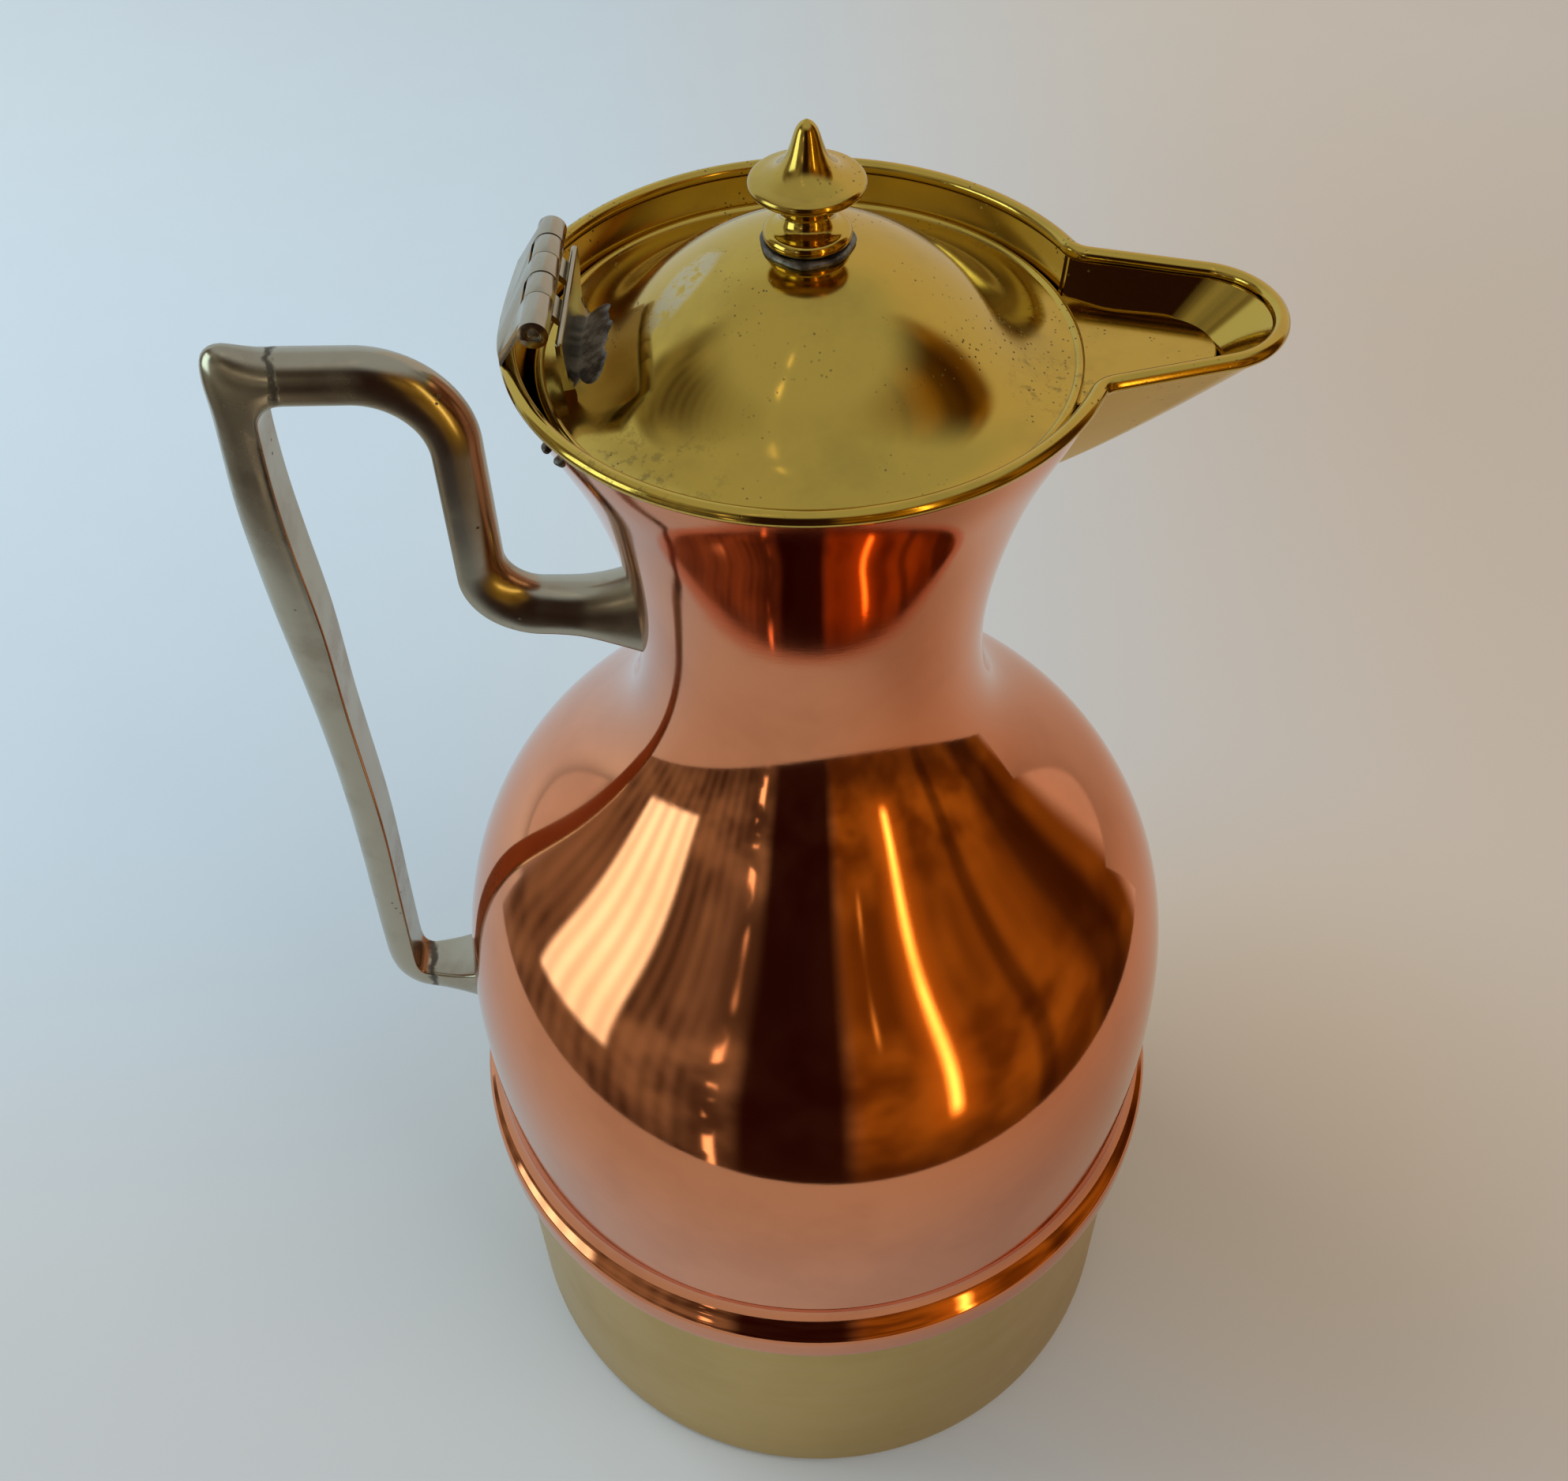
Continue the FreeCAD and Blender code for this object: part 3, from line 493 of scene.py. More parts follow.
def satin_brass(paint, place, colours):
    """Brass brushed round and round to a soft sheen."""
    hair = paint.round_lines(3200.0, 3.0)
    broad = paint.round_lines(240.0, 1.2).step(0.35, 0.75)
    cloud = paint.noise(place, 22.0, 4.0, 0.6).step(0.40, 0.75)
    colour = paint.mix(cloud * 0.25, colours.base_brass, colours.brass_tarnish)
    colour = paint.mix(broad * 0.08, colour, colours.brass_bare)
    rough = 0.27 + cloud * 0.08 + hair * 0.08
    return paint.metal(colour, rough, (hair, 0.3, 0.03))


def nickel_silver(paint, place, colours):
    """Cast nickel silver, filed and buffed, with dark solder in its seams, painted crease shade beside the
    top seam, and small pits.
    """
    x, _, z = paint.parts_of(place)
    wobble = paint.noise(place, 300.0, 3.0, 0.6)
    cloud = paint.noise(place, 90.0, 4.0, 0.6).step(0.42, 0.72)
    ragged = paint.noise(place, 130.0, 4.0, 0.65)
    # dark line at the top seam: partly solder in the joint, partly painted shade in the crease beside it
    seam_and_crease_shade = (x + TOP_SEAM_SHADE * MM + (ragged - 0.5) * 0.006).do("ABSOLUTE")
    seam_and_crease_shade = (1 - seam_and_crease_shade.step(0.0001, 0.0008)) * z.step(0.2505, 0.2525)
    low_seam = (x + LOW_SEAM * MM + (ragged - 0.5) * 0.005).do("ABSOLUTE")
    low_seam = (1 - low_seam.step(0.0002, 0.0010)) * (1 - z.step(0.105, 0.110))
    pits = paint.specks(place, 330.0, 0.13) * paint.noise(place, 60.0, 2.0, 0.5).step(0.58, 0.64)
    dark = seam_and_crease_shade.do("MAXIMUM", low_seam).do("MAXIMUM", pits)
    colour = paint.mix(cloud * 0.5, colours.nickel, colours.nickel_warm)
    colour = paint.mix(dark * 0.75, colour, colours.dark)
    rough = 0.2 + cloud * 0.1 + dark * 0.3
    height = paint.noise(place, 70.0, 3.0, 0.5) * 3.0 - dark * 1.5 + wobble * 0.2
    return paint.metal(colour, rough, (height, 0.5, 0.03))


def soft_solder(paint, place, colours):
    """Dull grey solder, lumpy and darkened."""
    lump = paint.noise(place, 420.0, 3.0, 0.6)
    colour = paint.mix(lump.step(0.35, 0.7), colours.dark, colours.solder)
    return paint.metal(colour, 0.3 + lump * 0.25, (lump, 0.5, 0.12), 0.9)


def bright_steel(paint, place, colours):
    """Drawn steel."""
    grain = paint.noise(place, 800.0, 3.0, 0.6)
    colour = paint.mix(grain.step(0.4, 0.8), colours.steel, colours.dark)
    return paint.metal(colour, 0.25 + grain * 0.2, (grain, 0.3, 0.05))


def tinned_copper(paint, place, colours):
    """The vessel's hot tinned inside, wiped by hand."""
    wipe = paint.round_lines(300.0, 4.0).step(0.3, 0.75)
    cloud = paint.noise(place, 45.0, 4.0, 0.6).step(0.4, 0.75)
    colour = paint.mix(cloud * 0.4, colours.tin, colours.dark)
    return paint.metal(colour, 0.3 + wipe * 0.15, (wipe + cloud, 0.3, 0.1))


def cork(paint, place, colours):
    """Pressed cork."""
    values = {"Vector": place, "Scale": 420.0}
    grain = paint.add("ShaderNodeTexVoronoi", None, values)
    colour = paint.mix(grain.step(0.1, 0.8), colours.cork, colours.cork_dark)
    return paint.metal(colour, 0.85, (grain, 0.5, 0.3), 0.0)


FINISHES = {
    "polished_copper": ("polished copper", polished_copper),
    "polished_brass": ("polished brass", polished_brass),
    "satin_brass": ("satin brass", satin_brass),
    "nickel_silver": ("nickel silver", nickel_silver),
    "solder": ("soft solder", soft_solder),
    "steel": ("drawn steel", bright_steel),
    "tinned_copper": ("tinned copper", tinned_copper),
    "cork": ("pressed cork", cork),
}


def finish_for(slot):
    """The finished material of a slot, made once."""
    name, painted = FINISHES[slot]
    found = bpy.data.materials.get(name)
    if found:
        return found
    paint = Paint(name)
    return painted(paint, paint.place(), bpy.context.scene.jug_colours)


def colour_property(name, text, value):
    """One colour that a user may change."""
    return bpy.props.FloatVectorProperty(
        name=name, description=text, default=value, subtype="COLOR", size=3, min=0.0, max=1.0,
    )


class JugColours(bpy.types.PropertyGroup):
    """The colours of the finishes."""

    copper: colour_property("Copper", "Colour of the polished copper", (0.77, 0.28, 0.125))
    copper_tarnish: colour_property("Copper tarnish", "Colour of its tarnish", (0.54, 0.17, 0.07))
    brass: colour_property("Brass", "Colour of the polished brass", (0.59, 0.40, 0.075))
    brass_tarnish: colour_property("Brass tarnish", "Colour of stained brass", (0.34, 0.235, 0.06))
    brass_bare: colour_property("Rubbed brass", "Colour of rubbed brass", (0.66, 0.58, 0.40))
    base_brass: colour_property("Base brass", "Colour of the satin base cup", (0.54, 0.355, 0.085))
    nickel: colour_property("Nickel silver", "Colour of the handle", (0.44, 0.40, 0.31))
    nickel_warm: colour_property("Warm nickel", "Colour of its stains", (0.35, 0.29, 0.21))
    solder: colour_property("Solder", "Colour of the solder", (0.24, 0.22, 0.19))
    steel: colour_property("Steel", "Colour of the steel pins", (0.55, 0.55, 0.55))
    tin: colour_property("Tin", "Colour of the tinned vessel", (0.70, 0.70, 0.68))
    cork: colour_property("Cork", "Colour of the cork", (0.56, 0.38, 0.22))
    cork_dark: colour_property("Cork grain", "Colour of the cork's grain", (0.30, 0.18, 0.10))
    # also the painted crease shade beside the handle's top seam
    dark: colour_property("Dark stain", "Colour of pits and dark stains", (0.05, 0.04, 0.035))


def length_property(name, text, value):
    """One length that a user may change, in metres."""
    return bpy.props.FloatProperty(name=name, description=text, default=value, unit="LENGTH", precision=5)


class JugSizes(bpy.types.PropertyGroup):
    """The sizes that the pieces are built from."""

    base_corner: length_property("Base corner", "Radius of the base cup's lower edge", 2.5 * MM)
    bead: length_property("Bead", "Radius of the jacket's bead", 2.8 * MM)
    rim_roll: length_property("Rim roll", "Radius of the rolled rim", RIM_ROLL)
    lip_tip: length_property("Lip tip", "Radius of the pouring lip's tip", 13.2 * MM)
    lip_keel: length_property("Lip keel", "Depth of the pouring lip under the rim", 27.5 * MM)
    lip_wall: length_property("Lip wall", "Thickness of the pouring lip", 0.8 * MM)
    thumb: length_property("Thumb corner", "Height of the thumb corner above the arm", 0.9 * MM)
    barrel_ends: length_property("Hinge edge", "Rounding of the hinge's edges", 0.22 * MM)


# ---- pouring lip -------------------------------------------------------------------------------
LIP_TAPER = math.radians(15.0)
LIP_KEEL_RADIUS = 2.2
LIP_KEEL_REACH = 35.9
LIP_FULLNESS = 0.86


def lip_plan(height, inset):
    """The lip's tip radius, the place of its centre, and its reach at a height."""
    sizes = bpy.context.scene.jug_sizes
    drop = sizes.lip_keel / MM
    rise = (height - (RIM_HEIGHT / MM - drop)) / drop
    rise = min(max(rise, 0.0), 1.0)
    tip = LIP_KEEL_RADIUS + (sizes.lip_tip / MM - LIP_KEEL_RADIUS) * rise
    reach = LIP_KEEL_REACH + (LIP_LENGTH / MM - LIP_KEEL_REACH) * rise ** LIP_FULLNESS
    return tip - inset, reach - tip, reach - inset


def lip_angle(radius, height, inset):
    """The angle from the +X side at which a circle about the axis meets the lip's side."""
    if height < RIM_HEIGHT / MM - bpy.context.scene.jug_sizes.lip_keel / MM:
        return 0.0
    tip, centre, reach = lip_plan(height, inset)
    if radius >= reach:
        return 0.0
    side = (tip + centre * math.sin(LIP_TAPER)) / radius
    if side < 1:
        angle = math.asin(side) - LIP_TAPER
        if radius * math.cos(angle) <= centre + tip * math.sin(LIP_TAPER):
            return angle
    return math.acos(min(1.0, (radius ** 2 + centre ** 2 - tip ** 2) / (2 * radius * centre)))


def lip_row(root, height, inset, count=40):
    """One level outline of the lip, from its root on one side round the tip to the other."""
    tip, centre, _ = lip_plan(height, inset)
    angle = lip_angle(root, height, inset)
    start = np.array([root * math.cos(angle), root * math.sin(angle)])
    bend = np.array([centre + tip * math.sin(LIP_TAPER), tip * math.cos(LIP_TAPER)])
    side = straight(start, bend, count // 2)
    if start[0] > bend[0]:
        side = np.repeat([start], count // 2, axis=0)
        first = math.degrees(math.atan2(start[1], start[0] - centre))
    else:
        first = 90.0 - math.degrees(LIP_TAPER)
    round_tip = arc((centre, 0.0), tip, first, 0.0, count)
    half = np.vstack([side, round_tip])
    other = half[:-1][::-1] * (1, -1)
    return [(x, y, height) for x, y in np.vstack([half, other])]


def lip_mesh():
    """The lip's shell: an outer and an inner skin, closed at the keel, the rim and the roots."""
    sizes = bpy.context.scene.jug_sizes
    wall = sizes.lip_wall / MM
    low = RIM_HEIGHT / MM - sizes.lip_keel / MM
    high = RIM_HEIGHT / MM - 0.6
    line = body_line(WAIST_HEIGHT, SHEET + COLLAR_GAP + SHEET * 0.5)
    points = []
    levels = np.linspace(0.0, 1.0, 26)
    columns = 0
    for inset, floor in ((0.0, low), (wall, low + wall)):
        for level in levels:
            height = floor + (high - floor) * level
            root = float(np.interp(height, line[:, 1], line[:, 0]))
            row = lip_row(root, height, inset)
            columns = len(row)
            points += row
    rows = len(levels)
    inner = rows * columns
    faces = grid_faces(rows, columns)
    faces += grid_faces(rows, columns, inner)
    faces.append(tuple(range(columns)))
    faces.append(tuple(range(inner, inner + columns)))
    top = (rows - 1) * columns
    for column in range(columns - 1):
        faces.append((top + column, top + column + 1, inner + top + column + 1, inner + top + column))
    for row in range(rows - 1):
        for column in (0, columns - 1):
            here = row * columns + column
            faces.append((here, here + columns, inner + here + columns, inner + here))
    for side in (0, columns - 1):
        faces.append((side, inner + side, columns - 1 - side))
    return points, faces


def rim_path():
    """The middle line of the rolled edge in the rim's plane: the mouth, two small bends and
    the lip, as one closed run of points."""
    sizes = bpy.context.scene.jug_sizes
    roll = sizes.rim_roll / MM
    bend = 4.0
    ring = RIM_RADIUS / MM - roll
    tip = sizes.lip_tip / MM - roll
    centre = LIP_LENGTH / MM - sizes.lip_tip / MM
    lean = np.array([math.sin(LIP_TAPER), math.cos(LIP_TAPER)])
    back = np.array([-lean[1], lean[0]])
    start = np.array([centre, 0.0]) + lean * (tip + bend)
    along = start @ back
    reach = -along - math.sqrt(along ** 2 - start @ start + (ring + bend) ** 2)
    joint = start + back * reach
    ring_angle = math.degrees(math.atan2(joint[1], joint[0]))
    lip = arc((centre, 0.0), tip, 0.0, 90.0 - math.degrees(LIP_TAPER), 40)
    side = straight(lip[-1], joint - lean * bend, 24)[1:]
    toward = math.degrees(math.atan2(-joint[1], -joint[0]))
    small = arc(joint, bend, -90.0 - math.degrees(LIP_TAPER), toward, 12)
    mouth = arc((0.0, 0.0), ring, ring_angle, 180.0, 150)[1:]
    half = np.vstack([lip, side, small, mouth])
    return np.vstack([half, half[1:-1][::-1] * (1, -1)])


def tube_nodes(name, radius, finish):
    """A node tree that lays a round tube along a closed path."""
    tree = bpy.data.node_groups.new(name, "GeometryNodeTree")
    tree.interface.new_socket("Geometry", in_out="INPUT", socket_type="NodeSocketGeometry")
    size = tree.interface.new_socket("Radius", in_out="INPUT", socket_type="NodeSocketFloat")
    size.default_value = radius
    steps = tree.interface.new_socket("Steps", in_out="INPUT", socket_type="NodeSocketInt")
    steps.default_value = 20
    tree.interface.new_socket("Geometry", in_out="OUTPUT", socket_type="NodeSocketGeometry")
    into = tree.nodes.new("NodeGroupInput")
    out = tree.nodes.new("NodeGroupOutput")
    circle = tree.nodes.new("GeometryNodeCurvePrimitiveCircle")
    sweep = tree.nodes.new("GeometryNodeCurveToMesh")
    real = tree.nodes.new("GeometryNodeRealizeInstances")
    paint = tree.nodes.new("GeometryNodeSetMaterial")
    paint.inputs["Material"].default_value = finish
    link = tree.links.new
    link(into.outputs["Radius"], circle.inputs["Radius"])
    link(into.outputs["Steps"], circle.inputs["Resolution"])
    link(into.outputs["Geometry"], sweep.inputs["Curve"])
    link(circle.outputs["Curve"], sweep.inputs["Profile Curve"])
    link(sweep.outputs["Mesh"], real.inputs["Geometry"])
    link(real.outputs["Geometry"], paint.inputs["Geometry"])
    link(paint.outputs["Geometry"], out.inputs["Geometry"])
    return tree, size.identifier


def swept_tube(name, path, height, radius, finish):
    """A plain mesh of a tube along a closed level path, made with Geometry Nodes."""
    curve = bpy.data.curves.new(name, "CURVE")
    curve.dimensions = "3D"
    run = curve.splines.new("POLY")
    run.points.add(len(path) - 1)
    for point, (x, y) in zip(run.points, path):
        point.co = (x * MM, y * MM, height * MM, 1.0)
    run.use_cyclic_u = True
    holder = bpy.data.objects.new(name + "_path", curve)
    bpy.context.scene.collection.objects.link(holder)
    tree, socket = tube_nodes(name + " tube", radius, finish)
    nodes = holder.modifiers.new("tube", "NODES")
    nodes.node_group = tree
    nodes[socket] = radius
    graph = bpy.context.evaluated_depsgraph_get()
    mesh = bpy.data.meshes.new_from_object(holder.evaluated_get(graph))
    bpy.data.objects.remove(holder)
    bpy.data.curves.remove(curve)
    return mesh


def joined(first, second):
    """Two meshes in one."""
    work = bmesh.new()
    work.from_mesh(first)
    work.from_mesh(second)
    bmesh.ops.recalc_face_normals(work, faces=work.faces)
    work.to_mesh(first)
    work.free()
    return first


# ---- pieces: operators ---------------------------------------------------------------------------
class JUG_OT_base(bpy.types.Operator):
    """Build the satin base cup"""

    bl_idname = "jug.base"
    bl_label = "Base cup"

    def execute(self, context):
        radius = BASE_RADIUS / MM
        height = BASE_HEIGHT / MM
        corner = context.scene.jug_sizes.base_corner / MM
        lower = arc((radius - corner, corner), corner, -90.0, 0.0, 14)
        wall = straight((radius, corner + 2), (radius, height - 0.3), 16)
        edge = arc((radius - 0.3, height - 0.3), 0.3, 0.0, 90.0, 5)
        inner = radius - BASE_SHEET
        inside = [(inner, height), (inner, 2.5), (inner - 1.5, BASE_SHEET)]
        bottom = [(r, 0.0) for r in np.linspace(0.0, radius - corner, 12, endpoint=False)]
        outline = bottom + list(lower) + list(wall) + list(edge) + inside + [(0.0, BASE_SHEET)]
        points, faces = turned(outline, 224)
        piece("base_cup_skin", points, faces, "jug", ["base_cup"], "satin_brass")
        return {"FINISHED"}


class JUG_OT_jacket(bpy.types.Operator):
    """Build the polished copper jacket with its bead"""

    bl_idname = "jug.jacket"
    bl_label = "Copper jacket"

    def execute(self, context):
        bead = context.scene.jug_sizes.bead / MM
        low = BASE_HEIGHT / MM
        centre = (BEAD_RADIUS / MM - bead, low + bead)
        band = arc(centre, bead, -90.0, 0.0, 12)
        upper = (centre[0], centre[1] + BEAD_FLAT)
        shoulder = arc(upper, bead, 0.0, COVE_SLOPE, 10)
        slope = math.radians(COVE_SLOPE)
        sweep = (shoulder[-1][0] - BODY[0][0] - 0.06) / (1 - math.cos(slope))
        top = shoulder[-1] + sweep * np.array([math.cos(slope), math.sin(slope)])
        cove = arc(top, sweep, 180.0 + COVE_SLOPE, 180.0, 16)
        rolled = np.vstack([band, shoulder, cove[1:]])
        body = body_line(rolled[-1][1] + 0.8, 0.0)
        outer = np.vstack([rolled, body])
        step = (69.0, low + 2.6)
        count = len(rolled) - 12
        back = np.vstack([straight((69.0, low), step, 12), straight(step, (68.95, body[0][1]), count)])
        inner = np.vstack([back, beside(body, SHEET)])
        points, faces = sheet(outer, inner, lambda r, z: lip_angle(r, z, LIP_OVERLAP))
        piece("copper_jacket_skin", points, faces, "jug", ["copper_jacket"], "polished_copper")
        return {"FINISHED"}


class JUG_OT_collar(bpy.types.Operator):
    """Build the brass collar, its rolled rim and the pouring lip"""

    bl_idname = "jug.collar"
    bl_label = "Collar and lip"

    def execute(self, context):
        brass = finish_for("polished_brass")
        neck = np.array([(28.5, WAIST_HEIGHT)])
        outer = np.vstack([neck, body_line(WAIST_HEIGHT + 1, SHEET + COLLAR_GAP)])
        inner = beside(outer, SHEET)
        points, faces = sheet(outer, inner, lambda r, z: lip_angle(r, z, LIP_OVERLAP))
        collar = piece("collar_skin", points, faces, "jug", ["collar"], "polished_brass")
        rim = RIM_HEIGHT / MM
        roll = swept_tube("rim_roll", rim_path(), rim, context.scene.jug_sizes.rim_roll, brass)
        collar.data = joined(collar.data, roll)
        shade(collar.data)
        points, faces = lip_mesh()
        piece("pouring_lip_skin", points, faces, "jug", ["pouring_lip"], "polished_brass")
        return {"FINISHED"}


class JUG_OT_vessel(bpy.types.Operator):
    """Build the tinned inner vessel"""

    bl_idname = "jug.vessel"
    bl_label = "Inner vessel"

    def execute(self, context):
        neck = 27.7
        line = smooth_line([
            (64.4, 16.0), (64.9, 62.5), (65.2, 109.0), (62.5, 131.4), (55.4, 146.3), (42.3, 160.5),
            (31.3, 175.4), (neck, 192.0), (neck, 200.0), (neck, 208.9),
        ], 160)
        floor = arc((56.4, 16.0), 8.0, -90.0, 0.0, 12)[:-1]
        outer = np.vstack([[(0.0, 8.0)], floor, line])
        inner = beside(outer[1:], LINER_SHEET)
        outline = list(outer) + list(inner[::-1]) + [(0.0, 8.0 + LINER_SHEET)]
        points, faces = turned(outline, 128)
        piece("inner_liner_skin", points, faces, "jug", ["inner_liner"], "tinned_copper")
        return {"FINISHED"}


class JUG_OT_handle(bpy.types.Operator):
    """Build the cast handle: the upper arm, the grip and the lower lug"""

    bl_idname = "jug.handle"
    bl_label = "Handle"

    def execute(self, context):
        for name, stations in (
            ("handle_upper_arm", self.arm()),
            ("handle_grip", self.grip(context.scene.jug_sizes.thumb / MM)),
            ("handle_lower_lug", self.lug()),
        ):
            points, faces = bar(*stations)
            piece(name + "_skin", points, faces, "jug", [name], "nickel_silver", 50.0)
        return {"FINISHED"}

    def arm(self):
        """Stations from the grip's top seam, round two bends, to the flared foot."""
        counts = (14, 26, 20, 22, 20)
        outside = np.vstack([
            straight((-78.6, 258.1), (-68.2, 258.1), counts[0]),
            arc((-68.2, 240.6), 17.5, 90.0, 0.0, counts[1])[:-1],
            straight((-50.7, 240.6), (-50.7, 217.2), counts[2] + 1),
            arc((-44.4, 217.2), 6.3, 180.0, 270.0, counts[3])[:-1],
            smooth_line([(-44.4, 210.9), (-39.0, 210.8), (-33.5, 211.9), (-28.0, 214.4)], counts[4] + 1),
        ])
        inside = np.vstack([
            straight((-78.6, 250.7), (-68.6, 250.7), counts[0]),
            arc((-68.6, 240.2), 10.5, 90.0, 0.0, counts[1])[:-1],
            straight((-58.1, 240.2), (-58.1, 214.9), counts[2] + 1),
            arc((-45.9, 214.9), 12.2, 180.0, 270.0, counts[3])[:-1],
            smooth_line([(-45.9, 202.7), (-40.0, 202.5), (-34.0, 201.2), (-28.0, 199.4)], counts[4] + 1),
        ])
        share = np.linspace(0.0, 1.0, len(outside))
        halves = np.interp(share, (0, 0.3, 0.75, 0.88, 1), (4.3, 4.2, 4.6, 5.2, 6.4))
        return outside, inside, halves

    def grip(self, thumb):
        """Stations from the top seam round the thumb corner and down to the lower seam."""
        left = GRIP_OUTSIDE / MM + 0.05
        outside = smooth_line([
            (-78.6, 258.1), (-82.0, 258.15), (-85.4, 258.1 + thumb * 0.8), (-88.0, 258.2 + thumb),
            (-89.9, 258.0), (-90.9, 255.6), (-91.2, 250.0), (left, 232.0), (left, 219.0),
            (-91.5, 205.0), (-90.2, 184.0), (-89.5, 150.0), (-90.2, 125.0), (-90.7, 108.0),
            (-90.5, 101.0), (-88.9, 96.0), (-85.9, 93.1), (-82.0, 92.0),
        ], 210)
        inside = smooth_line([
            (-78.6, 250.7), (-80.0, 250.5), (-81.6, 249.6), (-82.8, 248.3),
            (-83.3, 247.1), (-83.5, 245.6), (-83.7, 242.0), (-83.9, 228.0), (-83.5, 217.0),
            (-82.9, 204.0), (-83.0, 184.0), (-82.7, 150.0), (-83.6, 125.0), (-84.2, 109.0),
            (-84.3, 104.0), (-83.9, 101.6), (-83.0, 100.5), (-82.0, 100.2),
        ], 210)
        share = np.linspace(0.0, 1.0, len(outside))
        halves = np.interp(share, (0, 0.07, 0.2, 0.55, 0.93, 1), (4.3, 4.0, 4.4, 4.2, 4.2, 4.3))
        return outside, inside, halves

    def lug(self):
        """Stations from the lower seam to the flared foot on the belly."""
        outside = smooth_line([(-82.0, 92.0), (-78.0, 91.0), (-74.2, 89.3), (-71.4, 87.3), (-69.5, 84.9)], 30)
        inside = smooth_line([(-82.0, 100.2), (-78.0, 100.3), (-74.0, 101.0), (-69.5, 102.8)], 30)
        halves = np.linspace(4.3, 6.6, 30)
        return outside, inside, halves


class JUG_OT_hinge(bpy.types.Operator):
    """Build the hinge: its curved leaf, its pin and the lid's bracket"""

    bl_idname = "jug.hinge"
    bl_label = "Hinge"

    def execute(self, context):
        edge = context.scene.jug_sizes.barrel_ends / MM
        for node, slot in (("hinge_body_leaf", "nickel_silver"), ("hinge_pin", "steel")):
            dressed(node + "_skin", merged_copy(node, edge), "jug", [node], slot, 30.0)
        points, faces = self.strip()
        for start, stop in KNUCKLE_SPANS[1::2]:
            for more, quads in (self.knuckle(start, stop, edge), self.web(start, stop)):
                faces += [tuple(corner + len(points) for corner in face) for face in quads]
                points += more
        piece("hinge_lid_bracket_skin", points, faces, "lid", ["hinge_lid_bracket"], "nickel_silver")
        return {"FINISHED"}

    def knuckle(self, start, stop, edge):
        """One bored knuckle with rounded ends, lying along the pin."""
        bore = BARREL_BORE
        out = BARREL_RADIUS
        section = [(bore, start), (out - edge, start), (out - edge * 0.3, start + edge * 0.3)]
        section += [(out, start + edge), (out, stop - edge)]
        section += [(out - edge * 0.3, stop - edge * 0.3), (out - edge, stop), (bore, stop)]
        turn = np.linspace(0.0, 2 * math.pi, 64, endpoint=False)
        points = []
        for radius, along in section:
            for angle in turn:
                across = BARREL_X + radius * math.cos(angle)
                points.append((across, along, BARREL_Z + radius * math.sin(angle)))
        return points, ring_faces(len(section), len(turn))

    def web(self, start, stop):
        """The tab that carries a knuckle on the bracket."""
        root = BRACKET_NEAR + 0.5
        corners = (
            (BARREL_X + 0.7, BRACKET_TOP + 0.1), (root, BRACKET_TOP - 2.4),
            (root, BRACKET_TOP - 1.3), (BARREL_X + 1.6, BRACKET_TOP + 0.5),
        )
        points = [(x, y, z) for y in (start, stop) for x, z in corners]
        return points, capped_faces(2, len(corners))

    def strip(self):
        """The upright strip beside the barrel, which spreads into a foot on the lid."""
        points = []
        stations = np.linspace(-BRACKET_HALF_TOP, BRACKET_HALF_TOP, 81)
        quarter = np.radians(np.linspace(90.0, 0.0, 14))
        for y in stations:
            reach = abs(y)
            trim = 0.28 if reach > BRACKET_HALF_TOP - 0.1 else 0.0
            near = BRACKET_NEAR + trim
            far = BRACKET_NEAR + 1.0 - trim
            corner = max(0.0, reach - BRACKET_HALF_FOOT) * BRACKET_TAPER
            spread = 1.7 * (1 - min(1.0, max(0.0, reach - 8.6) / 2.0)) ** 0.6
            near_low = lid_height(math.hypot(near, y)) - 0.4 + corner
            far_low = lid_height(math.hypot(far + spread, y)) - 0.4 + corner
            tall = min(0.2 + spread * 2.2, BRACKET_TOP - far_low - 0.7)
            middle = (near + far) / 2
            crown = arc((middle, BRACKET_TOP - 0.5), (far - near) / 2, 180.0, 0.0, 9)
            section = list(straight((near, near_low), crown[0], 8)) + list(crown)
            section += list(straight(crown[-1], (far, far_low + tall), 8))[1:]
            section += [(far + spread * (1 - math.sin(a)), far_low + tall * (1 - math.cos(a)))
                        for a in quarter]
            points += [(x, y, z) for x, z in section]
        return points, capped_faces(len(stations), len(points) // len(stations))


class JUG_OT_lid(bpy.types.Operator):
    """Build the domed lid and its tongue"""

    bl_idname = "jug.lid"
    bl_label = "Lid"

    def execute(self, context):
        edge = arc((LID_RADIUS - 0.8, LID_EDGE_HEIGHT - 0.4), 0.8, 130.0, -130.0, 18)
        outline = list(LID_LINE) + list(edge) + list((LID_LINE - (0.0, LID_SHEET))[::-1])
        points, faces = turned(outline, 224)
        piece("lid_dome_skin", points, faces, "lid", ["lid_dome"], "polished_brass")
        points, faces = self.tongue()
        made = piece("lid_tongue_skin", points, faces, "lid", ["lid_tongue"], "polished_brass")
        bevel = made.modifiers.new("rounded edge", "BEVEL")
        bevel.width = 0.2 * MM
        bevel.segments = 2
        bevel.limit_method = "ANGLE"
        return {"FINISHED"}

    def tongue(self):
        """A flat plate whose outline narrows to a round tip over the pouring lip."""
        half = smooth_line([
            (33.5, 13.4), (39.0, 13.2), (41.6, 11.6), (44.1, 9.9), (48.4, 8.7), (54.0, 7.6),
            (57.4, 5.6), (59.3, 2.9), (59.9, 0.0),
        ], 60)
        half[-1] = (59.9, 0.0)
        outline = [tuple(p) for p in half] + [(x, -y) for x, y in half[:-1][::-1]]
        top = LID_EDGE_HEIGHT - LID_SHEET
        points = []
        for height in (top, top - LID_SHEET):
            points += [(x, y, height) for x, y in outline]
        return points, capped_faces(2, len(outline))


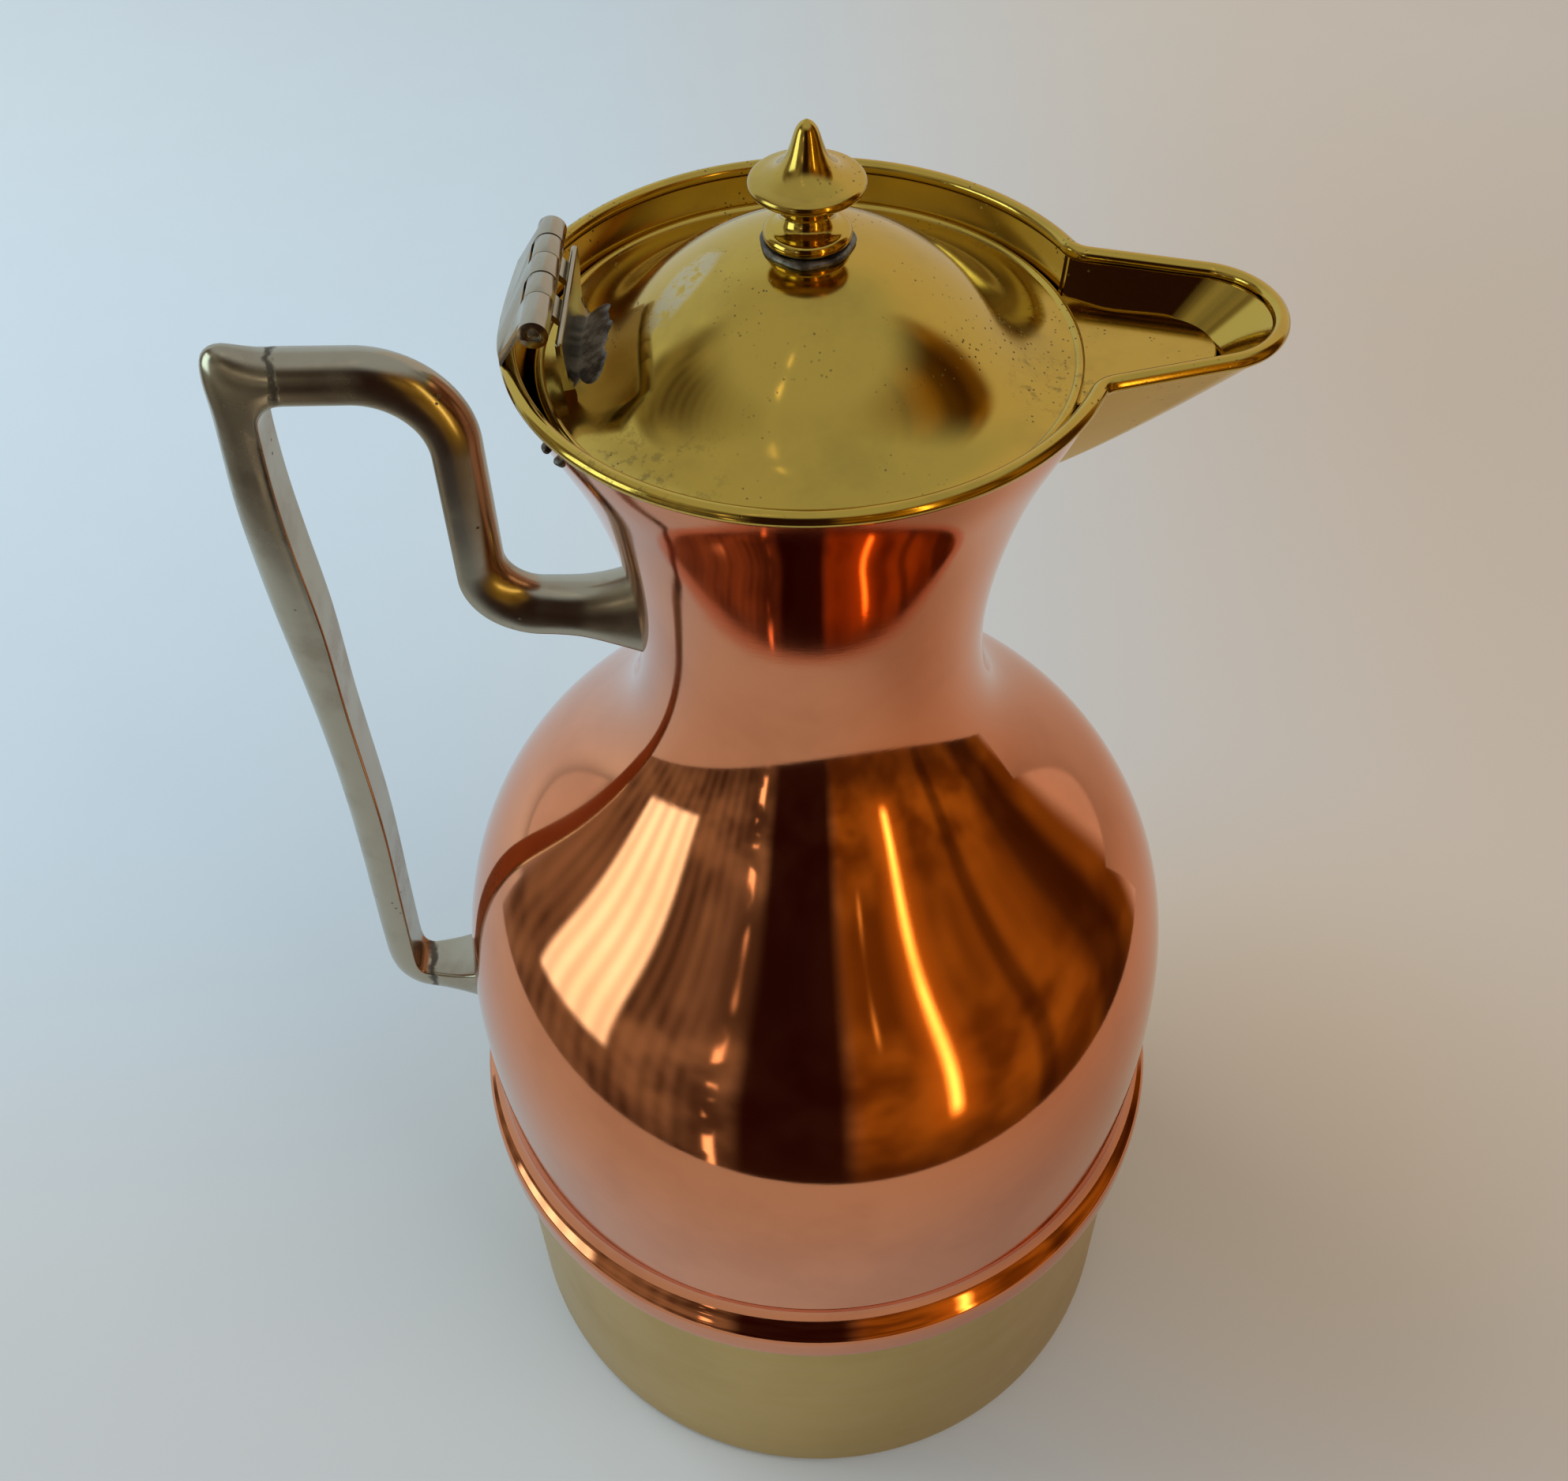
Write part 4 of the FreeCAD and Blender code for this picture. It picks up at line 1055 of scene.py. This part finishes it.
class JUG_OT_finial(bpy.types.Operator):
    """Build the turned finial and its fixings"""

    bl_idname = "jug.finial"
    bl_label = "Finial"

    def execute(self, context):
        low = LID_EDGE_HEIGHT + LID_RISE + 0.7
        tall = 18.0
        foot = [(5.3 + math.sin(a) * 1.0, low + tall * 0.06 * (1 - math.cos(a)))
                for a in np.linspace(0.0, math.pi, 12)]
        neck = smooth_line([
            (5.0, low + tall * 0.125), (3.9, low + tall * 0.17), (3.4, low + tall * 0.25),
            (3.9, low + tall * 0.34), (5.2, low + tall * 0.40), (7.0, low + tall * 0.435),
        ], 24)
        disc = arc((7.3, low + tall * 0.485), 0.9, -80.0, 80.0, 14)
        cone = smooth_line([
            (6.6, low + tall * 0.54), (5.0, low + tall * 0.575), (3.5, low + tall * 0.65),
            (2.55, low + tall * 0.75), (1.85, low + tall * 0.87), (0.95, low + tall * 0.965),
            (0.0, low + tall),
        ], 40)
        cone[-1] = (0.0, low + tall)
        outline = [(0.0, low)] + foot + list(neck) + list(disc) + list(cone)
        points, faces = turned(outline, 96)
        piece("finial_skin", points, faces, "lid", ["finial"], "polished_brass")
        for node in ("finial_stud", "finial_washer", "finial_nut"):
            dressed(node + "_skin", merged_copy(node, 0.15), "lid", [node], "satin_brass", 30.0)
        return {"FINISHED"}


class JUG_OT_solder(bpy.types.Operator):
    """Build the solder: the ring under the finial, the bracket's foot and two drops"""

    bl_idname = "jug.solder"
    bl_label = "Solder"

    def execute(self, context):
        crown = LID_EDGE_HEIGHT + LID_RISE
        points = []
        rows = 96
        section = np.linspace(0.0, 2 * math.pi, 12, endpoint=False)
        for row in range(rows):
            turn = 2 * math.pi * row / rows
            wide = 0.75 + 0.18 * math.sin(3 * turn) + 0.12 * math.sin(7 * turn + 1)
            for angle in section:
                radius = 6.0 + wide * math.cos(angle)
                height = crown + 0.1 + 0.55 * math.sin(angle)
                points.append((radius * math.cos(turn), radius * math.sin(turn), height))
        faces = ring_faces(rows, len(section))
        piece("finial_solder_ring_skin", points, faces, "lid", ["finial_solder_ring"], "solder")
        points, faces = self.fillet()
        piece("bracket_solder", points, faces, "lid", [], "solder")
        low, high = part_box("solder_tacks")
        points, faces = self.drops(np.array(low) / MM, np.array(high) / MM)
        piece("solder_tacks_skin", points, faces, "jug", ["solder_tacks"], "solder")
        return {"FINISHED"}

    def fillet(self):
        """A lumpy run of solder along the bracket's foot."""
        points = []
        rows = 60
        section = np.linspace(0.0, 2 * math.pi, 14, endpoint=False)
        for row in range(rows):
            share = row / (rows - 1)
            across = -10.2 + 19.4 * share
            end = math.sin(math.pi * share) ** 0.4
            lump = 1 + 0.14 * math.sin(across * 0.8 + 1) + 0.06 * math.sin(across * 1.9)
            for angle in section:
                x = -31.6 + across * across * 0.006 + 2.5 * end * lump * math.cos(angle)
                z = lid_height(math.hypot(x, across)) + 0.5 * end * lump * math.sin(angle)
                points.append((x, across, z))
        return points, capped_faces(rows, len(section))

    def drops(self, low, high):
        """Two flattened drops under the rim."""
        points = []
        faces = []
        rows = 10
        count = 16
        for turn in TACK_TURNS:
            middle = np.array([
                TACK_REACH * math.cos(math.radians(turn)), TACK_REACH * math.sin(math.radians(turn)),
                (low[2] + high[2]) / 2,
            ])
            start = len(points)
            for row in range(rows + 1):
                up = math.pi * row / rows
                for column in range(count):
                    round_it = 2 * math.pi * column / count
                    size = 0.82 - 0.16 * math.cos(2 * round_it + turn)
                    points.append(tuple(middle + size * np.array([
                        math.sin(up) * math.cos(round_it), math.sin(up) * math.sin(round_it),
                        math.cos(up) * 0.8,
                    ])))
            faces += grid_faces(rows + 1, count, start, wrap=True)
        return points, faces


class JUG_OT_hidden(bpy.types.Operator):
    """Give the pieces inside the jug their finishes"""

    bl_idname = "jug.hidden"
    bl_label = "Inner pieces"

    def execute(self, context):
        for node, slot in (
            ("joint_band", "satin_brass"), ("cork_pad", "cork"), ("neck_ring", "satin_brass"),
            ("rim_wire", "steel"), ("handle_dowels", "steel"),
        ):
            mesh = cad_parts[node].data
            mesh.materials.clear()
            mesh.materials.append(finish_for(slot))
        return {"FINISHED"}


# ---- stage -----------------------------------------------------------------------------------------
class JugStage(bpy.types.PropertyGroup):
    """The camera and the light."""

    lens: bpy.props.FloatProperty(
        name="Lens", description="Focal length on a 36 mm wide sensor", default=38.86, unit="CAMERA",
    )
    pitch: bpy.props.FloatProperty(
        name="Pitch", description="How far the camera looks down", default=math.radians(46.05),
        subtype="ANGLE",
    )
    sky: bpy.props.FloatProperty(name="Sky", description="Strength of the even light", default=0.55)
    window: bpy.props.FloatProperty(name="Window", description="Power of the window light", default=9.0)
    lamp: bpy.props.FloatProperty(name="Lamp", description="Power of the warm light", default=4.0)


CAMERA_PLACE = (0.0, -0.2064, 0.4050)
CAMERA_YAW = math.radians(-1.35)
CAMERA_ROLL = math.radians(-1.51)
CAMERA_SHIFT = -0.0507
TABLE_REACH = 3.0
TABLE_EDGE_CENTRE = (-0.05, 0.12)
TABLE_EDGE_RADIUS = 0.372
ROOM_RADIUS = 1.6
ROOM_CENTRE = (0.0, -0.05, 0.15)


def floor_finish():
    """A pale painted table, with painted light in its colour: cool on one side, warm on the other, changing
    toward near and far, and a painted copper reflection.
    """
    paint = Paint("pale table")
    place = paint.place()
    x, y, _ = paint.parts_of(place)
    grain = paint.noise(place, 30.0, 3.0, 0.5)
    # painted light: cool window light on the left and warm lamp light on the right, put into the table's
    # colour
    warm = x.step(-0.16, 0.26)
    colour = paint.mix(warm, (0.555, 0.655, 0.715), (0.58, 0.48, 0.385))
    # painted light: the far part of the table is lighter, most on the warm right
    far = y.step(0.30, 0.70)
    colour = paint.mix(far * 0.8, colour, paint.mix(warm, (0.58, 0.65, 0.68), (0.70, 0.61, 0.51)))
    # painted shade: the near left part of the table is darker and greyer
    near = (1 - y.step(-0.06, 0.12)) * (1 - warm)
    colour = paint.mix(near, colour, (0.53, 0.56, 0.56))
    # painted reflection: the warm light that the copper throws onto the table beside the jug
    copper_reflection = paint.spot((116.0, 12.0, 0.0), 82.0, 0.75)
    colour = paint.mix(copper_reflection * 0.75, colour, (0.56, 0.43, 0.295))
    colour = paint.mix(grain.step(0.3, 0.7) * 0.03, colour, (0.45, 0.45, 0.45))
    shader = paint.tree.nodes.new("ShaderNodeBsdfDiffuse")
    paint.feed(shader.inputs["Color"], colour)
    paint.show(Flow(paint, shader.outputs[0]))
    return paint.material


def room_finish():
    """What the polished metal mirrors: a dim warm room, a window, a lamp and a pale ceiling."""
    paint = Paint("room")
    x, y, z = paint.parts_of(paint.place())
    size = (x * x + y * y + z * z) ** 0.5
    rise = (z / size).do("ARCSINE") * math.degrees(1)
    turn = x.do("ARCTAN2", -y) * math.degrees(1)
    place = paint.vector(turn, rise, 0.0)
    blotch = paint.noise(place, 0.045, 2.0, 0.5).step(0.35, 0.7)
    cool = paint.mix(blotch, (0.08, 0.062, 0.045), (0.30, 0.27, 0.20))
    gold = paint.mix(blotch, (0.15, 0.065, 0.005), (0.37, 0.19, 0.022))
    dim = paint.mix(turn.step(2.0, 15.0), cool, gold)
    drape = ((turn * 1.2).do("SINE") * 0.5 + 0.5) * turn.between(-106.0, -36.0, 6.0)
    dim = paint.mix(drape * 0.25, dim, (0.44, 0.40, 0.32))
    dark = turn.between(-22.0, 9.0, 3.0) * (1 - drape * 0.2)
    dark = dark.do("MAXIMUM", turn.between(88.0, 104.0, 4.0) * 0.8)
    dark = dark.do("MAXIMUM", turn.between(64.0, 70.0, 2.0) * 0.6)
    dim = paint.mix(dark * 0.96, dim, (0.018, 0.003, 0.002))
    dim = paint.mix((1 - rise.step(-34.0, -16.0)) * 0.55, dim, (0.03, 0.015, 0.008))
    wall = paint.mix(turn.step(-60.0, 60.0), (0.62, 0.70, 0.76), (0.66, 0.60, 0.54))
    colour = paint.mix(turn.between(-111.0, 114.0, 4.0), wall, dim)
    colour = paint.mix(rise.step(38.0, 60.0), colour, (0.50, 0.52, 0.52))
    window = turn.between(-89.0, -61.0, 1.5) * rise.between(-7.0, 30.0, 2.0)
    pane = window * (0.75 + 0.25 * (turn * 0.9).do("SINE"))
    streak = turn.between(36.6, 39.8, 1.6) * rise.between(-16.0, 32.0, 4.0)
    halo = turn.between(32.0, 44.0, 6.0) * rise.between(-20.0, 36.0, 6.0)
    small = turn.between(19.2, 20.4, 0.7) * rise.between(22.0, 30.0, 4.0) * 0.6
    glint = turn.between(-30.4, -27.4, 0.8) * paint.noise(place, 0.10, 1.0, 0.5).step(0.50, 0.60)
    colour = paint.mix(window, colour, (0.78, 1.0, 1.0))
    colour = paint.mix(halo * 0.55, colour, (0.80, 0.36, 0.03))
    colour = paint.mix(streak.do("MAXIMUM", small), colour, (0.9, 0.62, 0.16))
    colour = paint.mix(glint, colour, (0.85, 0.7, 0.5))
    strength = 1.0 + pane * 1.9 + streak * 5.5 + small * 2.0 + glint * 1.6
    glow = paint.add("ShaderNodeEmission", None, {"Color": colour, "Strength": strength})
    paint.show(glow)
    return paint.material


def seen_in_metal_only(thing):
    """Something that only reflections show."""
    thing.visible_camera = False
    thing.visible_diffuse = False
    thing.visible_shadow = False
    thing.visible_transmission = False
    thing.visible_volume_scatter = False


def stage_object(name, points, faces, finish):
    """A piece of the stage."""
    mesh = bpy.data.meshes.new(name)
    mesh.from_pydata(points, [], faces)
    mesh.materials.append(finish)
    made = bpy.data.objects.new(name, mesh)
    bpy.context.scene.collection.objects.link(made)
    return made


def area_light(name, place, target, size, power, colour):
    """A soft square light that metal does not mirror."""
    light = bpy.data.lights.new(name, "AREA")
    light.size = size
    light.energy = power
    light.color = colour
    made = bpy.data.objects.new(name, light)
    made.location = place
    aim = Vector(target) - Vector(place)
    made.rotation_euler = aim.to_track_quat("-Z", "Y").to_euler()
    made.visible_glossy = False
    bpy.context.scene.collection.objects.link(made)


class JUG_OT_stage(bpy.types.Operator):
    """Set the floor, the room, the lights and the camera"""

    bl_idname = "jug.stage"
    bl_label = "Stage"

    def execute(self, context):
        far = TABLE_REACH
        square = [(-far, -far, 0.0), (far, -far, 0.0), (far, far, 0.0), (-far, far, 0.0)]
        finish = floor_finish()
        table = stage_object("table", square, [(0, 1, 2, 3)], finish)
        table.visible_glossy = False
        table.visible_shadow = False
        near = arc(TABLE_EDGE_CENTRE, TABLE_EDGE_RADIUS, 180.0, 360.0, 40)
        outline = [(-far, 1.0)] + [tuple(p) for p in near]
        outline += [(far, 1.0), (far, far), (-far, far)]
        edge = [(x, y, 0.05 * MM) for x, y in outline]
        mirrored = stage_object("table_mirrored", edge, [tuple(range(len(edge)))], finish)
        seen_in_metal_only(mirrored)
        self.room()
        self.light(context)
        self.camera(context)
        return {"FINISHED"}

    def room(self):
        """The dome round the table, for reflections only."""
        work = bmesh.new()
        bmesh.ops.create_uvsphere(work, u_segments=64, v_segments=32, radius=ROOM_RADIUS)
        mesh = bpy.data.meshes.new("room")
        work.to_mesh(mesh)
        work.free()
        mesh.materials.append(room_finish())
        dome = bpy.data.objects.new("room", mesh)
        bpy.context.scene.collection.objects.link(dome)
        dome.location = ROOM_CENTRE
        seen_in_metal_only(dome)

    def light(self, context):
        """An even sky, a cool window on the left and a warm lamp on the right."""
        stage = context.scene.jug_stage
        world = bpy.data.worlds.new("soft sky")
        world.use_nodes = True
        sky = world.node_tree.nodes["Background"]
        sky.inputs["Color"].default_value = (0.92, 0.96, 1.0, 1.0)
        sky.inputs["Strength"].default_value = stage.sky
        context.scene.world = world
        middle = (0.0, 0.0, 0.1)
        area_light("window_light", (-0.9, 0.35, 0.9), middle, 0.9, stage.window, (0.9, 0.96, 1.0))
        area_light("lamp_light", (0.75, -0.5, 0.9), middle, 0.7, stage.lamp, (1.0, 0.9, 0.78))

    def camera(self, context):
        """A camera above the table that looks down on the jug."""
        stage = context.scene.jug_stage
        lens = bpy.data.cameras.new("camera")
        lens.sensor_width = 36.0
        lens.lens = stage.lens
        lens.shift_y = CAMERA_SHIFT
        lens.clip_start = 0.01
        made = bpy.data.objects.new("camera", lens)
        ahead = Vector((
            math.sin(CAMERA_YAW) * math.cos(stage.pitch), math.cos(CAMERA_YAW) * math.cos(stage.pitch),
            -math.sin(stage.pitch),
        ))
        right = Vector((math.cos(CAMERA_YAW), -math.sin(CAMERA_YAW), 0.0))
        up = right.cross(ahead)
        side = right * math.cos(CAMERA_ROLL) + up * math.sin(CAMERA_ROLL)
        over = up * math.cos(CAMERA_ROLL) - right * math.sin(CAMERA_ROLL)
        turn = Matrix((side, over, -ahead)).transposed().to_4x4()
        made.matrix_world = Matrix.Translation(CAMERA_PLACE) @ turn
        context.scene.collection.objects.link(made)
        context.scene.camera = made
        context.scene.view_settings.view_transform = "Standard"


OPERATORS = (
    JUG_OT_base, JUG_OT_jacket, JUG_OT_collar, JUG_OT_vessel, JUG_OT_handle, JUG_OT_hinge,
    JUG_OT_lid, JUG_OT_finial, JUG_OT_solder, JUG_OT_hidden, JUG_OT_stage,
)
GROUPS = {"jug_sizes": JugSizes, "jug_colours": JugColours, "jug_stage": JugStage}


class JUG_PT_panel(bpy.types.Panel):
    """Lists the jug's pieces and sizes"""

    bl_idname = "JUG_PT_panel"
    bl_label = "Jug"
    bl_space_type = "VIEW_3D"
    bl_region_type = "UI"
    bl_category = "Jug"

    def draw(self, context):
        for operator in OPERATORS:
            self.layout.operator(operator.bl_idname)
        for name, group in GROUPS.items():
            box = self.layout.box()
            for key in group.__annotations__:
                box.prop(getattr(context.scene, name), key)


def register():
    """Add the classes and the scene's properties."""
    for group in GROUPS.values():
        bpy.utils.register_class(group)
    for name, group in GROUPS.items():
        setattr(bpy.types.Scene, name, bpy.props.PointerProperty(type=group))
    for operator in OPERATORS:
        bpy.utils.register_class(operator)
    bpy.utils.register_class(JUG_PT_panel)


def unregister():
    """Take the classes and the scene's properties away."""
    bpy.utils.unregister_class(JUG_PT_panel)
    for operator in reversed(OPERATORS):
        bpy.utils.unregister_class(operator)
    for name, group in GROUPS.items():
        delattr(bpy.types.Scene, name)
        bpy.utils.unregister_class(group)


def main():
    """Register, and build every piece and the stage."""
    register()
    for operator in OPERATORS:
        group, name = operator.bl_idname.split(".")
        getattr(getattr(bpy.ops, group), name)()


if __name__ == "__main__":
    main()
